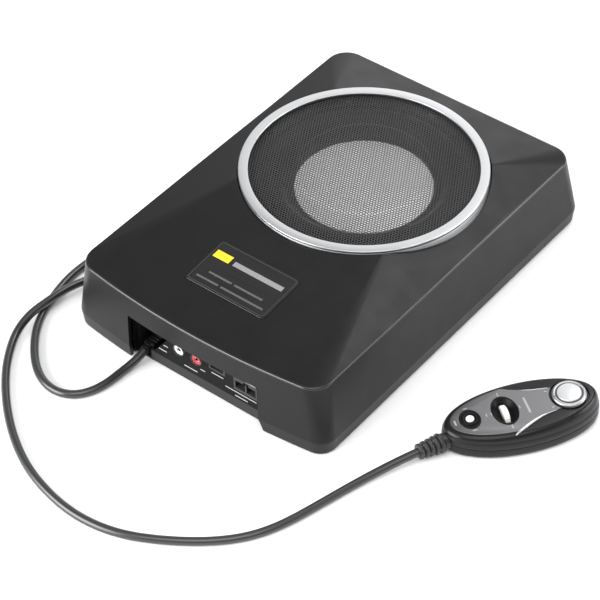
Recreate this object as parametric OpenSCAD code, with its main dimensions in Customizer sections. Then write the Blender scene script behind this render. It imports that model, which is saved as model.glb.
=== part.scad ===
// Flat under-seat powered subwoofer with a wired level remote, in millimetres.
// The origin is on the floor under the middle of the housing rim. +Z is up, the connectors face -Y,
// and the long side of the housing runs along Y.

/* [Housing] */
// Width of the housing at its rim
rim_w = 190; // [188:1:192]
// Length of the housing at its rim, without the bow of the front
rim_l = 271; // [268:1:274]
// Height of the rim above the floor
rim_z = 53.5; // [53:0.1:54]
// How far the front edge bows out in the middle
front_bow = 8.2; // [7:0.1:9]
// How much wider each side wall stands at its foot
flare = 5.5; // [4.5:0.1:6]
// Wall thickness of the cast shell
wall = 2.5; // [2:0.1:2.8]
// Height of the five rubber feet
foot_h = 1.5; // [1.2:0.1:1.8]

/* [Driver] */
// Distance of the driver axis behind the middle of the rim
driver_y = 33.8; // [33:0.1:35]
// Top of the silver trim ring above the floor
ring_top = 64; // [63.8:0.1:64.4]
// Travel of the cone each way
cone_travel = 5; // [3:0.5:5]
// Number of screws that hold the basket
basket_screws = 8; // [4:1:12]

/* [Connector panel] */
// Distance between the two RCA jacks
rca_pitch = 14; // [13:0.5:15]
// Height of the RCA jacks above the floor
rca_z = 30.3; // [29:0.1:31]

/* [Remote] */
// Half the length of the remote
remote_a = 50; // [49:0.5:52]
// Half the width of the remote
remote_b = 23.3; // [23:0.1:24]
// Turn of the remote about the vertical
remote_turn = 54.5; // [54:0.1:55]
// Travel of the round button
button_travel = 1.2; // [0.6:0.1:1.2]

/* [Cord] */
// Diameter of the remote cord
cord_d = 5.4; // [5:0.1:5.4]

/* [Hidden] */
$fn = 64;
eps = 0.01;
// Housing
front_flare = 1.7;
rim_r = 14.5;
base_r = 12;
base_bow = 7.5;
crease_z = 11;
crease_in = 1;
top_quad = [[57.8, -22.5], [64, 86], [-64, 86], [-57.8, -22.5]];
top_quad_z = rim_z + 9.7;
front_y = -rim_l / 2 - front_bow;
front_tilt = atan((top_quad_z - rim_z) / (top_quad[0][1] - front_y));
// Drum at the driver: the conical collar and the hole in the roof around it
collar_r0 = 82.4;
collar_r1 = 81;
collar_z0 = 54;
collar_z1 = ring_top - 1.9;
collar_bore = 79.3;
ledge_z = 51.5;
ledge_r = 69.5;
drum_r = 85.5;
// Recess in the front wall, seen along +Y
recess_left = -50;
recess_right = 53;
recess_top = 37;
recess_back = -134;
recess_shape = [[recess_left, 0], [recess_left, recess_top], [recess_right, recess_top],
    [recess_right, 12], [56.5, 0]];
hood_shape = [[recess_left - 2, foot_h], [recess_left - 2, recess_top + 2],
    [recess_right + 2, recess_top + 2], [recess_right + 2, 12.4], [58.2, foot_h]];
// Connector panel and what stands in it
panel_y = -136;
panel_t = 1.5;
pan_t = 1.5;
pan_top = foot_h + pan_t;
pan_wall_top = 9.5;
pan_in = flare - crease_in - wall - 0.2;
rca_x = [4 - rca_pitch, 4];
rca_front = -141.5;
input_box = [[9.5, 23], [22.5, 31]];
power_box = [[29, 17], [47.5, 28]];
panel_screw_at = [[-24, 31.5], [50, 33]];
// Remote socket and plug
plug_x = -42.7;
plug_z = 7;
pocket_back = -112;
plug_front = -133;
// Amplifier
pcb_z = 10;
pcb_t = 1.6;
pcb_top = pcb_z + pcb_t;
standoff_at = [[-80, -90], [80, -90], [-80, -60], [80, -60], [50, -127], [-3, -110]];
capacitor_at = [[2, -70], [2, -85], [17, -70], [17, -85]];
post_at = [[88, -120], [88, -45], [86, 124], [-88, -120], [-88, -45], [-86, 124]];
foot_at = [[76, -112], [76, 114], [-76, 114], [-76, -112], [0, 0]];
// Driver
pole_r = 17.8;
gap_bore = 20.9;
coil_r = 19;
coil_bottom = 10 + cone_travel;
spider_z = 27.5;
cone_top = 48.2;
roll_in = 50.5;
roll_w = 16;
screw_ring = 75;
terminal_turn = 210;
roll_z = 48.7;
roll_rise = 8.5;
roll_h = 5;
lead_r = 0.9;
// Remote
remote_at = [177.4, -43.4];
pad_h = 0.8;
split_z = 8;
face_z = 18.2;
face_tilt = 2.4;
knob_s = 30.5;
well_r = 12.3;
wheel_s = -10.6;
wheel_r = 8;
wheel_z = 11.6;
wheel_t = 3.4;
button_s = -32.8;
remote_pcb_z = 4.2;
remote_pcb_t = 1.2;
remote_pcb_top = remote_pcb_z + remote_pcb_t;
stem_h = 6.2;
switch_room = face_z + button_s * tan(face_tilt) - stem_h - remote_pcb_top - 3.2;
remote_post_at = [[-42.3, 0], [9, 16], [9, -16], [44.6, 0]];
face_edge = [[-46, 3], [-42, 8], [-34, 13], [-22, 17], [-9.5, 18.5], [-3, 15.6], [6, 12], [13, 10.2],
    [21, 9], [27, 9]];
// Boot where the cord enters the remote
boot_end = [143.6, -102.3, 6.6];
boot_turn = 66.3;
boot_ribs = 5;
boot_pitch = 3.4;
// Route of the cord: out of the plug, round to the left, back behind the left wall, over itself,
// round the front and up into the boot
route = [[-42.7, -137, 7], [-43, -145, 4.6], [-45, -158, 2.7], [-46, -174, 2.7], [-54, -190, 2.7],
    [-71, -195, 2.7], [-91, -186, 2.7], [-109, -167, 2.7], [-119, -150, 2.7], [-125, -131, 2.7],
    [-129, -110, 2.7], [-127.5, -86, 2.7], [-125.5, -66, 2.7], [-122.5, -54.5, 2.7], [-114.5, -50, 2.7],
    [-106.5, -54.5, 2.7], [-103.5, -66, 2.7], [-107, -86, 3], [-113, -103, 4.8], [-117, -118, 7.2],
    [-119, -131, 8.5], [-120, -143, 8.6], [-122, -156, 7.2], [-121, -169, 4.2], [-116, -181, 2.7],
    [-104, -199, 2.7], [-86, -218, 2.7], [-64, -236, 2.7], [-38, -251, 2.7], [-12, -259, 2.7],
    [13, -262, 2.7], [39, -258, 2.7], [62, -247, 2.7], [84, -232, 2.7], [101, -215, 2.7],
    [112, -195, 2.7], [120, -168, 2.7], [128, -139, 2.8], [137, -116.5, 5.2], [143.6, -102.3, 6.6]];
cord_sides = 10;
cord_steps = 2;

// ---- helpers ----

// Points of an arc about c
function arc(c, r, a0, a1, n) =
    [for (i = [0:n]) let (a = a0 + (a1 - a0) * i / n) c + r * [cos(a), sin(a)]];

// Outline of the housing at one level: w is half the width, back and front are the y of the straight
// back and of the front's corners, the front bows out by bow, and the corners have radius r
function outline(w, back, front, bow, r) =
    let (big = (w * w + bow * bow) / (2 * bow), cy = front - bow + big,
        fy = cy - sqrt(pow(big - r, 2) - pow(w - r, 2)), a = atan2(fy - cy, w - r))
    concat(arc([w - r, fy], r, a, 0, 6), arc([w - r, back - r], r, 0, 90, 6),
        arc([r - w, back - r], r, 90, 180, 6), arc([r - w, fy], r, 180, 180 - a, 6),
        arc([0, cy], big, 180 - a, 360 + a, 14));

module level(z, w, back, front, bow, r) {
    translate([0, 0, z]) linear_extrude(eps) polygon(outline(w, back, front, bow, r));
}

// Outer form of the housing, or its inner form when inset is the wall thickness
module housing_form(inset = 0) {
    w = rim_w / 2 - inset;
    l = rim_l / 2 - inset;
    drop = inset * 1.04;
    hull() {
        level(inset == 0 ? foot_h : -1, w + flare - crease_in, l + flare - crease_in,
            -l - front_flare + crease_in, base_bow, base_r);
        level(crease_z, w + flare, l + flare, -l - front_flare, base_bow, base_r);
        level(rim_z - 1 - drop, w + 0.15, l + 0.15, -l, front_bow, rim_r);
        level(rim_z + 0.25 - drop, w - 1, l - 1, 1 - l, front_bow, rim_r - 1);
        translate([0, 0, top_quad_z - drop - eps]) linear_extrude(eps) polygon(top_quad);
    }
}

module at_driver() { translate([0, driver_y, 0]) children(); }

module tube(r0, r1, z0, z1) {
    translate([0, 0, z0]) difference() {
        cylinder(r = r1, h = z1 - z0);
        translate([0, 0, -1]) cylinder(r = r0, h = z1 - z0 + 2);
    }
}

module box(lo, hi) { translate(lo) cube(hi - lo); }

// A plate drawn in x and z, from y0 to y1
module upright(y0, y1) { translate([0, y1, 0]) rotate([90, 0, 0]) linear_extrude(y1 - y0) children(); }

// A cylinder along +Y from y0 to y1
module y_rod(x, z, r, y0, y1) { translate([x, y0, z]) rotate([-90, 0, 0]) cylinder(r = r, h = y1 - y0); }

module on_front_facet(y) {
    z = rim_z + (y - front_y) * tan(front_tilt);
    translate([0, y, z]) rotate([front_tilt, 0, 0]) children();
}

module rounded(w, l, r) {
    square([w - 2 * r, l], center = true);
    square([w, l - 2 * r], center = true);
    for (sx = [-1, 1], sy = [-1, 1]) translate([sx * (w / 2 - r), sy * (l / 2 - r)]) circle(r);
}

// ---- housing ----

module top_shell() color("#2b2b2d") difference() {
    union() {
        difference() {
            housing_form();
            housing_form(wall);
        }
        intersection() {
            union() {
                at_driver() tube(83, drum_r, ledge_z, top_quad_z);
                upright(front_y - 5, recess_back) polygon(hood_shape);
            }
            housing_form();
        }
        at_driver() tube(ledge_r, drum_r, ledge_z, collar_z0);
        for (p = post_at) translate([p[0], p[1], pan_top]) cylinder(r = 4, h = 54 - pan_top);
    }
    at_driver() translate([0, 0, collar_z0]) cylinder(r1 = collar_r0 + 0.1, r2 = collar_r1 + 0.1, h = 10);
    upright(front_y - 6, recess_back + 1) polygon(recess_shape);
    on_front_facet(-90.5) translate([0.5, 0, -0.8]) linear_extrude(3) rounded(62.2, 38.2, 3);
    for (p = post_at) translate([p[0], p[1], 0]) cylinder(r = 1.3, h = 16);
    at_driver() for (i = [1:basket_screws]) rotate(i * 360 / basket_screws)
        translate([screw_ring, 0, 0]) cylinder(r = 1.6, h = 60);
}

module base_pan() color("#242426") difference() {
    union() {
        translate([0, 0, foot_h]) linear_extrude(pan_t) difference() {
            polygon(outline(rim_w / 2 + pan_in, rim_l / 2 + pan_in, -rim_l / 2 + 2.2, base_bow,
                base_r + 0.3));
            translate([recess_left - 2.1, -160]) square([108.9 + 2.1, 160 + recess_back + 0.1]);
        }
        box([recess_left + 0.1, panel_y, foot_h], [recess_right - 0.1, recess_back + 0.2, pan_top]);
        box([-38, panel_y, foot_h], [recess_right - 0.1, panel_y + panel_t, pan_wall_top]);
    }
    for (p = post_at) translate([p[0], p[1], 0]) cylinder(r = 1.6, h = 5);
    at_driver() for (i = [0:11]) rotate(i * 30) translate([20, 0, 0]) cylinder(r = 2.5, h = 5);
}

module rubber_feet() color("#1a1a1a") for (p = foot_at) translate([p[0], p[1], 0]) {
    cylinder(r1 = 8.6, r2 = 9, h = 0.4);
    translate([0, 0, 0.4]) cylinder(r = 9, h = foot_h - 0.4);
}

module base_screws() color("#3a3a3c") for (p = post_at) translate([p[0], p[1], 0]) difference() {
    union() {
        translate([0, 0, 0.3]) cylinder(r1 = 2.9, r2 = 3.3, h = foot_h - 0.3);
        translate([0, 0, foot_h]) cylinder(r = 1.25, h = 12.5);
    }
    translate([0, 0, -0.2]) cylinder(r = 1.3, h = 1, $fn = 6);
}

// ---- drum ----

module trim_ring() color("#d8d8da") at_driver() translate([0, 0, ring_top]) rotate_extrude($fn = 96)
    polygon([[74.6, -1.6], [77.7, -1.6], [77.7, -4.3], [79.2, -4.3], [79.2, -1.9], [80, -1.9], [80, -1.2],
        [81, -1.2], [81, -0.4], [80.6, 0], [75, 0], [74.6, -0.4]]);

module collar() color("#c9c9cc") at_driver() rotate_extrude($fn = 96)
    polygon([[collar_bore, collar_z0], [collar_r0, collar_z0],
        [collar_r1, collar_z1], [collar_bore, collar_z1]]);

module grille_mesh() color("#2a2a2a") at_driver() translate([0, 0, ring_top]) rotate_extrude($fn = 96)
    polygon([[0, -1.3], [44, -1.6], [45, -2.3], [68, -2.6], [74, -3.2], [77.5, -3.2],
        [77.5, -2.4], [74, -2.4], [68, -1.8], [45, -1.5], [44, -0.8], [0, -0.5]]);

module grille_retainer() color("#303032") at_driver() difference() {
    tube(73.4, 77.6, ring_top - 4.3, ring_top - 2.4 - 0.8);
    for (i = [0:5]) rotate(i * 60 + 30) translate([75.5, 0, 50]) cylinder(r = 1.1, h = 20);
}

module badge() color("#333336") on_front_facet(-90.5) translate([0.5, 0, -0.8]) {
    linear_extrude(1.3) rounded(62, 38, 3);
    translate([0, 0, 1.3]) linear_extrude(0.3) rounded(61, 37, 2.6);
}

// ---- driver ----

module basket() color("#1d1d1f") at_driver() difference() {
    rotate_extrude($fn = 96) polygon([[25, 21], [37, 21], [39.5, 27], [57.5, 43], [67.5, 54], [68, 55],
        [78.5, 55], [78.5, 57], [67, 57], [65.8, 55.6], [56, 44], [38.9, 28.4], [38.2, spider_z - 0.1],
        [34.7, spider_z - 0.1], [34.7, spider_z - 1.6], [35.3, 22.8], [25, 22.8]]);
    for (i = [0:5]) rotate(i * 60) translate([0, 0, 26]) linear_extrude(29) polygon(concat(
        arc([0, 0], 63, -20, 20, 4), arc([0, 0], 43, 18, -18, 4)));
    for (i = [1:basket_screws]) rotate(i * 360 / basket_screws)
        translate([screw_ring, 0, 50]) cylinder(r = 1.7, h = 10);
}

module basket_gasket() color("#26262a") at_driver() difference() {
    tube(69.7, 78.5, collar_z0, collar_z0 + 1);
    for (i = [1:basket_screws]) rotate(i * 360 / basket_screws)
        translate([screw_ring, 0, 50]) cylinder(r = 1.7, h = 10);
}

module driver_screws() color("#55555a") at_driver() for (i = [1:basket_screws])
    rotate(i * 360 / basket_screws) translate([screw_ring, 0, 0]) difference() {
        union() {
            translate([0, 0, 50]) cylinder(r = 1.5, h = 7);
            translate([0, 0, 57]) cylinder(r = 2.7, h = 1.2);
            translate([0, 0, 58.2]) cylinder(r1 = 2.7, r2 = 1.9, h = 0.7);
        }
        translate([0, 0, 57.6]) cylinder(r = 1.3, h = 3, $fn = 6);
    }

function roll(t, dz) = [roll_in + roll_w * t, roll_z + roll_rise * t + roll_h * sin(180 * t) + dz];

module surround() color("#141414") at_driver() rotate_extrude($fn = 96) polygon(concat(
    [[46.7, cone_top - 1.25], [roll_in, cone_top + 0.15]], [for (i = [1:11]) roll(i / 12, -0.45)],
    [[66.9, 57.1], [71, 57.1], [71, 57.8], [66.5, 57.9]], [for (i = [11:-1:1]) roll(i / 12, 0.45)],
    [[roll_in - 0.5, cone_top + 0.95], [46.7, cone_top - 0.45]]));

module surround_clamp() color("#202022") at_driver() tube(67.4, 71, 57.9, 59.6);

module cone() color("#3c3c40") at_driver() rotate_extrude($fn = 96)
    polygon([[coil_r + 0.05, 35.2], [roll_in, cone_top - 1], [roll_in, cone_top], [coil_r + 0.05, 36.4]]);

// Flat disc over the cone, relieved underneath so that only its rim touches the cone
module cone_cap() color("#c8c8ca") at_driver() translate([0, 0, cone_top - 1.95]) difference() {
    cylinder(r = 45.2, h = 1.35);
    translate([0, 0, -1]) cylinder(r = 43, h = 1.25);
}

module voice_coil_former() color("#b98b3c") at_driver() tube(coil_r - 0.4, coil_r, coil_bottom, 36.2);

module voice_coil_winding() color("#a5612c") at_driver()
    tube(coil_r, coil_r + 0.9, coil_bottom, coil_bottom + 9);

// Corrugated disc between the former and the basket
module spider() color("#8a6a35") at_driver() translate([0, 0, spider_z]) rotate_extrude($fn = 64)
    polygon(concat(
        [[coil_r + 0.1, 0], [20.5, 0]], [for (i = [0:20]) [21.5 + i * 0.65, 0.1 + 0.6 * sin(i * 90)]],
        [[35, 0], [37.6, 0], [37.6, 0.6], [35, 0.6]],
        [for (i = [20:-1:0]) [21.5 + i * 0.65, 0.7 + 0.6 * sin(i * 90)]],
        [[20.5, 0.6], [coil_r + 0.1, 0.6]]));

module top_plate() color("#6f7175") at_driver() tube(gap_bore, 35, 17, 21);

module ring_magnet() color("#2f2f31") at_driver() tube(22, 36, 9, 17);

module yoke() color("#6f7175") at_driver() difference() {
    union() {
        translate([0, 0, 4.5]) cylinder(r = 34, h = 4.5);
        translate([0, 0, 9]) cylinder(r = pole_r, h = 12.5);
    }
    cylinder(r = 5, h = 30);
}

module driver_terminals() color("#8a2a22") at_driver() rotate(terminal_turn) difference() {
    box([46.5, -8, 28], [55, 8, 37]);
    rotate_extrude($fn = 96) polygon([[30, 28], [39.5, 26.95], [57.5, 42.95], [57.5, 60], [30, 60]]);
}

// Two wires from the driver's terminals down to the amplifier board
module speaker_leads() color("#a01818") for (dx = [-2, 2]) translate([-44 + dx, 9.4, pcb_top + lead_r]) {
    cylinder(r = lead_r, h = 28 - pcb_top - lead_r, $fn = 16);
    rotate([90, 0, 0]) cylinder(r = lead_r, h = 69, $fn = 16);
    sphere(r = lead_r, $fn = 16);
}

// ---- amplifier ----

module amp_board() color("#1f5a34") translate([0, 0, pcb_z]) linear_extrude(pcb_t) difference() {
    union() {
        translate([-86, -94]) square([172, 38]);
        translate([-8, -132]) square([64, 40]);
    }
    for (p = post_at) translate([p[0], p[1]]) circle(4.5);
    for (p = standoff_at) translate([p[0], p[1]]) circle(1.5);
}

module board_standoffs() color("#c0a24a") for (p = standoff_at) translate([p[0], p[1], 0]) {
    translate([0, 0, pan_top]) cylinder(r = 3, h = pcb_z - pan_top);
    translate([0, 0, pcb_z]) cylinder(r = 1.45, h = pcb_t);
    translate([0, 0, pcb_top]) cylinder(r = 2.6, h = 1.6);
}

module heat_sink() color("#9a9ca0") translate([-77, -92, pcb_top]) linear_extrude(28) {
    translate([0, 10.5]) square([58, 3.5]);
    for (i = [0:9]) translate([i * 6.2, 0]) square([2, 11]);
}

module power_transistors() color("#232325") for (i = [0:3]) translate([-74 + i * 14, -78, 0]) {
    box([0, 0, 14], [10, 4.4, 24]);
    box([0, 0, 24], [10, 1.3, 30]);
    for (k = [0:2]) box([1.6 + k * 2.7, 1.4, pcb_top], [2.6 + k * 2.7, 2.2, 14]);
}

module toroid_choke() color("#b5742c") translate([44, -76, pcb_top]) rotate_extrude()
    polygon([[8.5, 0], [15, 0], [16, 1.2], [16, 10.8], [15, 12], [8.5, 12], [7.5, 10.8], [7.5, 1.2]]);

module capacitors() color("#20242c") for (p = capacitor_at) translate([p[0], p[1], pcb_top]) difference() {
    cylinder(r = 6.2, h = 21);
    translate([0, 0, 2.6]) difference() {
        cylinder(r = 8, h = 0.8);
        translate([0, 0, -1]) cylinder(r = 5.8, h = 3);
    }
}

module fuse() color("#b8332a") {
    box([28, -110, pcb_top], [44, -103, pcb_top + 8]);
    box([29, -108.5, pcb_top + 8], [43, -104.5, pcb_top + 12]);
}

// ---- connectors ----

module pocket_liner() color("#101011") difference() {
    box([recess_left - 2, recess_back, pan_top], [-15, pocket_back + 2, recess_top + 2]);
    box([recess_left, recess_back - 1, 0], [-17, pocket_back, recess_top]);
    box([-49.2, pocket_back - 1, 0], [-36.2, pocket_back + 3, 14]);
}

module connector_panel() color("#2a2a2c") difference() {
    upright(panel_y, panel_y + panel_t) polygon([[-36.1, pan_wall_top], [recess_right - 0.1, pan_wall_top],
        [recess_right - 0.1, recess_top - 0.1], [-16.2, recess_top - 0.1]]);
    for (x = rca_x) y_rod(x, rca_z, 4.2, panel_y - 1, panel_y + 3);
    for (b = [input_box, power_box]) upright(panel_y - 1, panel_y + 3) translate(b[0]) square(b[1] - b[0]);
    for (p = panel_screw_at) y_rod(p[0], p[1], 1.4, panel_y - 1, panel_y + 3);
}

module panel_screws() color("#6a6a6e") for (p = panel_screw_at) difference() {
    union() {
        y_rod(p[0], p[1], 2.4, panel_y - 1.1, panel_y);
        y_rod(p[0], p[1], 1.3, panel_y, panel_y + 7);
    }
    translate([p[0], panel_y - 0.4, p[1]]) rotate([90, 0, 0]) cylinder(r = 1.2, h = 2, $fn = 6);
}

// Moulded body of one RCA jack: the block behind the panel, the flange and the coloured sleeve
module rca_jack(x) difference() {
    union() {
        box([x - 4.9, panel_y + panel_t, pcb_top], [x + 4.9, -124, 36]);
        y_rod(x, rca_z, 4.15, panel_y, panel_y + panel_t);
        y_rod(x, rca_z, 5.6, panel_y - 0.6, panel_y);
        y_rod(x, rca_z, 3.7, rca_front + 0.5, panel_y - 0.6);
    }
    y_rod(x, rca_z, 1.7, rca_front - 1, -126);
}

module rca_jack_white() color("#ecebe6") rca_jack(rca_x[0]);

module rca_jack_red() color("#c8202a") rca_jack(rca_x[1]);

module rca_barrels() color("#d0d2d4") for (x = rca_x) difference() {
    y_rod(x, rca_z, 4.15, rca_front, panel_y - 0.6);
    y_rod(x, rca_z, 3.75, rca_front - 1, panel_y);
}

module rca_contacts() color("#d8b44a") for (x = rca_x) difference() {
    y_rod(x, rca_z, 1.68, rca_front + 1.2, -126);
    y_rod(x, rca_z, 1.2, rca_front, -130);
}

module socket_body(b, back) difference() {
    union() {
        box([b[0][0] + 0.1, panel_y, b[0][1] + 0.1], [b[1][0] - 0.1, back, b[1][1] - 0.1]);
        box([b[0][0] + 0.1, panel_y + panel_t + 0.1, pcb_top], [b[1][0] - 0.1, back, b[1][1] - 0.1]);
    }
    children();
}

module input_socket() color("#d9d9d2") socket_body(input_box, -124)
    box([10.9, panel_y - 1, 24.3], [21.1, -127, 29.7]);

module power_socket() color("#4a4a4d") socket_body(power_box, -122) {
    box([30.4, panel_y - 1, 19.2], [38, -125, 25.2]);
    box([39.2, panel_y - 1, 19.2], [46.2, -125, 25.2]);
    box([36.5, panel_y - 1, 25.2 - eps], [40.8, -125, 26.8]);
}

module socket_pins() color("#d0b060") {
    for (i = [0:3]) box([11.9 + i * 2.3, -133, 26.6], [12.7 + i * 2.3, -127, 27.4]);
    for (x = [31.8, 35, 40.6, 43.8]) box([x, -130.8, 21.4], [x + 1, -125, 23]);
}

module remote_socket() color("#18181a") difference() {
    box([-49.1, pocket_back, 3.1], [-36.3, -98, 13.9]);
    box([-46.6, pocket_back - 1, 3.9], [-38.8, -102, 10.1]);
}

module remote_plug() color("#161618") {
    box([-47, plug_front, 3.6], [-38.5, pocket_back, 10.4]);
    box([-46.5, pocket_back, 4], [-38.9, -103, 10]);
    translate([plug_x, route[0][1], plug_z]) rotate([-90, 0, 0])
        cylinder(r1 = 3.2, r2 = 3.4, h = plug_front - route[0][1]);
}

// ---- cord ----

// Point of the route at step k, on a Catmull-Rom curve, kept on the floor
function mix4(a, b, c, d, t) = 0.5 * (2 * b + (c - a) * t + (2 * a - 5 * b + 4 * c - d) * t * t
    + (3 * b - a - 3 * c + d) * t * t * t);
function route_at(k) = let (last = len(route) - 1, i = min(floor(k / cord_steps), last - 1),
    p = mix4(route[max(i - 1, 0)], route[i], route[i + 1], route[min(i + 2, last)], k / cord_steps - i))
    [p[0], p[1], max(p[2], cord_d / 2)];
rings = (len(route) - 1) * cord_steps;
function ahead(k) = route_at(min(k + 1, rings)) - route_at(max(k - 1, 0));
function unit(v) = v / norm(v);
function ring(k) =
    let (t = unit(k == 0 ? [0, -1, -0.02] : ahead(k)), side = unit(cross([0, 0, 1], t)), up = cross(t, side))
    [for (j = [0:cord_sides - 1]) let (a = 270 + j * 360 / cord_sides)
        route_at(k) + cord_d / 2 * (cos(a) * side + sin(a) * up)];

module remote_cord() color("#1c1c1d") polyhedron(
    points = [for (k = [0:rings]) each ring(k)],
    faces = concat(
        [[for (j = [0:cord_sides - 1]) j]],
        [for (k = [0:rings - 1], j = [0:cord_sides - 1]) let (a = k * cord_sides, b = a + cord_sides,
            n = (j + 1) % cord_sides) each [[a + j, b + j, b + n], [a + j, b + n, a + n]]],
        [[for (j = [cord_sides - 1:-1:0]) rings * cord_sides + j]]));

// Ribbed strain relief, from the cord end to the remote
module remote_boot() color("#1c1c1d") difference() {
    translate(boot_end) rotate([0, 0, boot_turn]) rotate([0, 90, 0]) rotate_extrude() polygon(concat(
        [[0, 0], [4.2, 0]],
        [for (i = [0:boot_ribs - 1]) let (x = i * boot_pitch, r = 5 + 0.32 * i)
            each [[r - 0.3, x], [r, x + 0.4], [r, x + 1.7], [r - 0.3, x + 2.1],
                [r - 1.1, x + 2.3], [r - 1, x + 3.2]]],
        [[5.6, boot_ribs * boot_pitch + 5], [0, boot_ribs * boot_pitch + 5]]));
    in_remote() translate([0, 0, -1]) linear_extrude(30) oval(remote_a + 0.05, remote_b + 0.05);
}

// ---- remote ----

module in_remote() { translate([remote_at[0], remote_at[1], 0]) rotate(remote_turn) children(); }

// A place on the slightly rising plane of the remote's top, at distance s along the remote
module at_top(s) { translate([s, 0, face_z + s * tan(face_tilt)]) rotate([0, -face_tilt, 0]) children(); }

module oval(a, b, n = 60) { polygon([for (i = [0:n - 1]) [a * cos(i * 360 / n), b * sin(i * 360 / n)]]); }

module remote_form(inset = 0) {
    hull() {
        translate([0, 0, split_z - (inset > 0 ? 1 : 0)]) linear_extrude(eps)
            oval(remote_a - inset, remote_b - inset);
        translate([0, 0, 12.5]) linear_extrude(eps) oval(remote_a - 0.7 - inset, remote_b - 0.7 - inset);
        translate([0, 0, face_z - 2.6]) rotate([0, -face_tilt, 0]) linear_extrude(eps)
            oval(remote_a - 2.4 - inset, remote_b - 2.2 - inset);
        translate([0, 0, face_z - inset - eps]) rotate([0, -face_tilt, 0]) linear_extrude(eps)
            oval(remote_a - 4.6, remote_b - 4.6);
    }
}

module remote_base() color("#1e1e20") in_remote() difference() {
    union() {
        difference() {
            translate([0, 0, pad_h]) linear_extrude(split_z - pad_h) oval(remote_a, remote_b);
            translate([0, 0, pad_h + 1.5]) linear_extrude(split_z) oval(remote_a - 1.7, remote_b - 1.7);
        }
        for (p = remote_post_at) translate([p[0], p[1], pad_h + 1])
            cylinder(r = 2.6, h = remote_pcb_z - pad_h - 1);
    }
    for (p = remote_post_at) translate([p[0], p[1], 0]) cylinder(r = 1.1, h = 10);
}

module remote_cover() color("#1e1e20") in_remote() difference() {
    union() {
        difference() {
            remote_form();
            remote_form(1.8);
        }
        for (p = remote_post_at) translate([p[0], p[1], remote_pcb_top])
            cylinder(r = 2.6, h = face_z - 1.4 - remote_pcb_top + (p[0] < -40 ? -1.4 : 0));
    }
    for (p = remote_post_at) translate([p[0], p[1], 0]) cylinder(r = 0.9, h = 13);
    at_top(button_s) translate([0, 0, -7]) cylinder(r = 6.45, h = 12);
    at_top(knob_s) translate([0, 0, -7]) cylinder(r = 3.6, h = 12);
    at_top(knob_s) translate([0, 0, -1.2]) cylinder(r = well_r, h = 4);
    at_top(wheel_s) translate([0, 0, -7]) linear_extrude(12) oval(7.6, 11, 40);
}

// Keeps a point of the face's outline inside the top's oval edge
function on_top(p) = let (k = norm([p[0] / (remote_a - 4.8), p[1] / (remote_b - 4.8)])) k > 1 ? p / k : p;

module remote_face() color("#4a4a4d") in_remote() difference() {
    at_top(0) linear_extrude(0.6) polygon(concat([for (p = face_edge) on_top(p)],
        [for (i = [len(face_edge) - 1:-1:0]) on_top([face_edge[i][0], -face_edge[i][1]])]));
    at_top(button_s) translate([0, 0, -1]) cylinder(r = 6.45, h = 3);
    at_top(wheel_s) translate([0, 0, -1]) linear_extrude(3) oval(7.6, 11, 40);
    at_top(knob_s) translate([0, 0, -1]) cylinder(r = well_r, h = 3);
}

module remote_pads() color("#121212") in_remote() for (p = [[-36, 8], [-36, -8], [36, 9], [36, -9]])
    translate([p[0], p[1], 0]) cylinder(r = 3.5, h = pad_h);

module remote_screws() color("#6a6a6e") in_remote() for (p = remote_post_at) translate([p[0], p[1], 0])
    difference() {
        union() {
            translate([0, 0, 0.2]) cylinder(r = 1.9, h = pad_h - 0.2);
            translate([0, 0, pad_h]) cylinder(r = 1.05, h = remote_pcb_top - pad_h);
            translate([0, 0, remote_pcb_top]) cylinder(r = 0.85, h = 5);
        }
        translate([0, 0, -0.1]) cylinder(r = 0.8, h = 0.6, $fn = 6);
    }

module remote_board() color("#1f5a34") in_remote() translate([0, 0, remote_pcb_z])
    linear_extrude(remote_pcb_t) difference() {
        oval(remote_a - 3.5, remote_b - 3.5);
        for (p = remote_post_at) translate([p[0], p[1]]) circle(1.2);
        translate([wheel_s, 0]) square([5.4, 20], center = true);
    }

// The knob's and the button's axes are square to the top
module at_knob() { in_remote() at_top(knob_s) children(); }

module at_button() { in_remote() at_top(button_s) children(); }

module volume_pot() color("#5c6a5e") at_knob() difference() {
    union() {
        translate([-7, -7, -13]) cube([14, 14, 8]);
        translate([0, 0, -5]) cylinder(r = 5, h = 3);
    }
    translate([0, 0, -12]) cylinder(r = 3.06, h = 12);
}

module volume_shaft() color("#c8c8ca") at_knob() {
    translate([0, 0, -11.5]) cylinder(r = 3, h = 10.4);
    translate([0, 0, -1.1]) cylinder(r = 2.6, h = 2.5);
}

module volume_knob() color("#c9cacc") at_knob() difference() {
    rotate_extrude() polygon([[0, -0.9], [10.4, -0.9], [10.7, -0.6], [10.7, 1.2],
        [10.2, 1.9], [7.5, 2], [7.4, 2.5], [7.2, 2.6], [0, 2.6]]);
    translate([0, 0, -1]) cylinder(r = 2.6, h = 2.4);
}

module crossover_wheel() color("#e4e4e4") in_remote() translate([wheel_s, 0, wheel_z]) rotate([0, 90, 0]) {
    translate([0, 0, -wheel_t / 2]) cylinder(r = wheel_r, h = wheel_t);
    translate([0, 0, -4.6]) cylinder(r = 1.5, h = 9.2);
}

// Dished opening round the thumb wheel, with the two ears that carry its axle
module wheel_cradle() color("#161618") in_remote() difference() {
    union() {
        translate([wheel_s, 0, face_z - 5]) linear_extrude(4.6) oval(7.4, 10.8, 40);
        for (s = [-1, 1]) translate([wheel_s + s * 3.5 - 1, -4.5, remote_pcb_top])
            cube([2, 9, face_z - 4.5 - remote_pcb_top]);
    }
    translate([wheel_s, 0, face_z + 13.6]) sphere(r = 17);
    translate([wheel_s, 0, 0]) cube([4, 16.4, 60], center = true);
    translate([wheel_s - 6, 0, wheel_z]) rotate([0, 90, 0]) cylinder(r = 1.56, h = 12);
}

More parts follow.
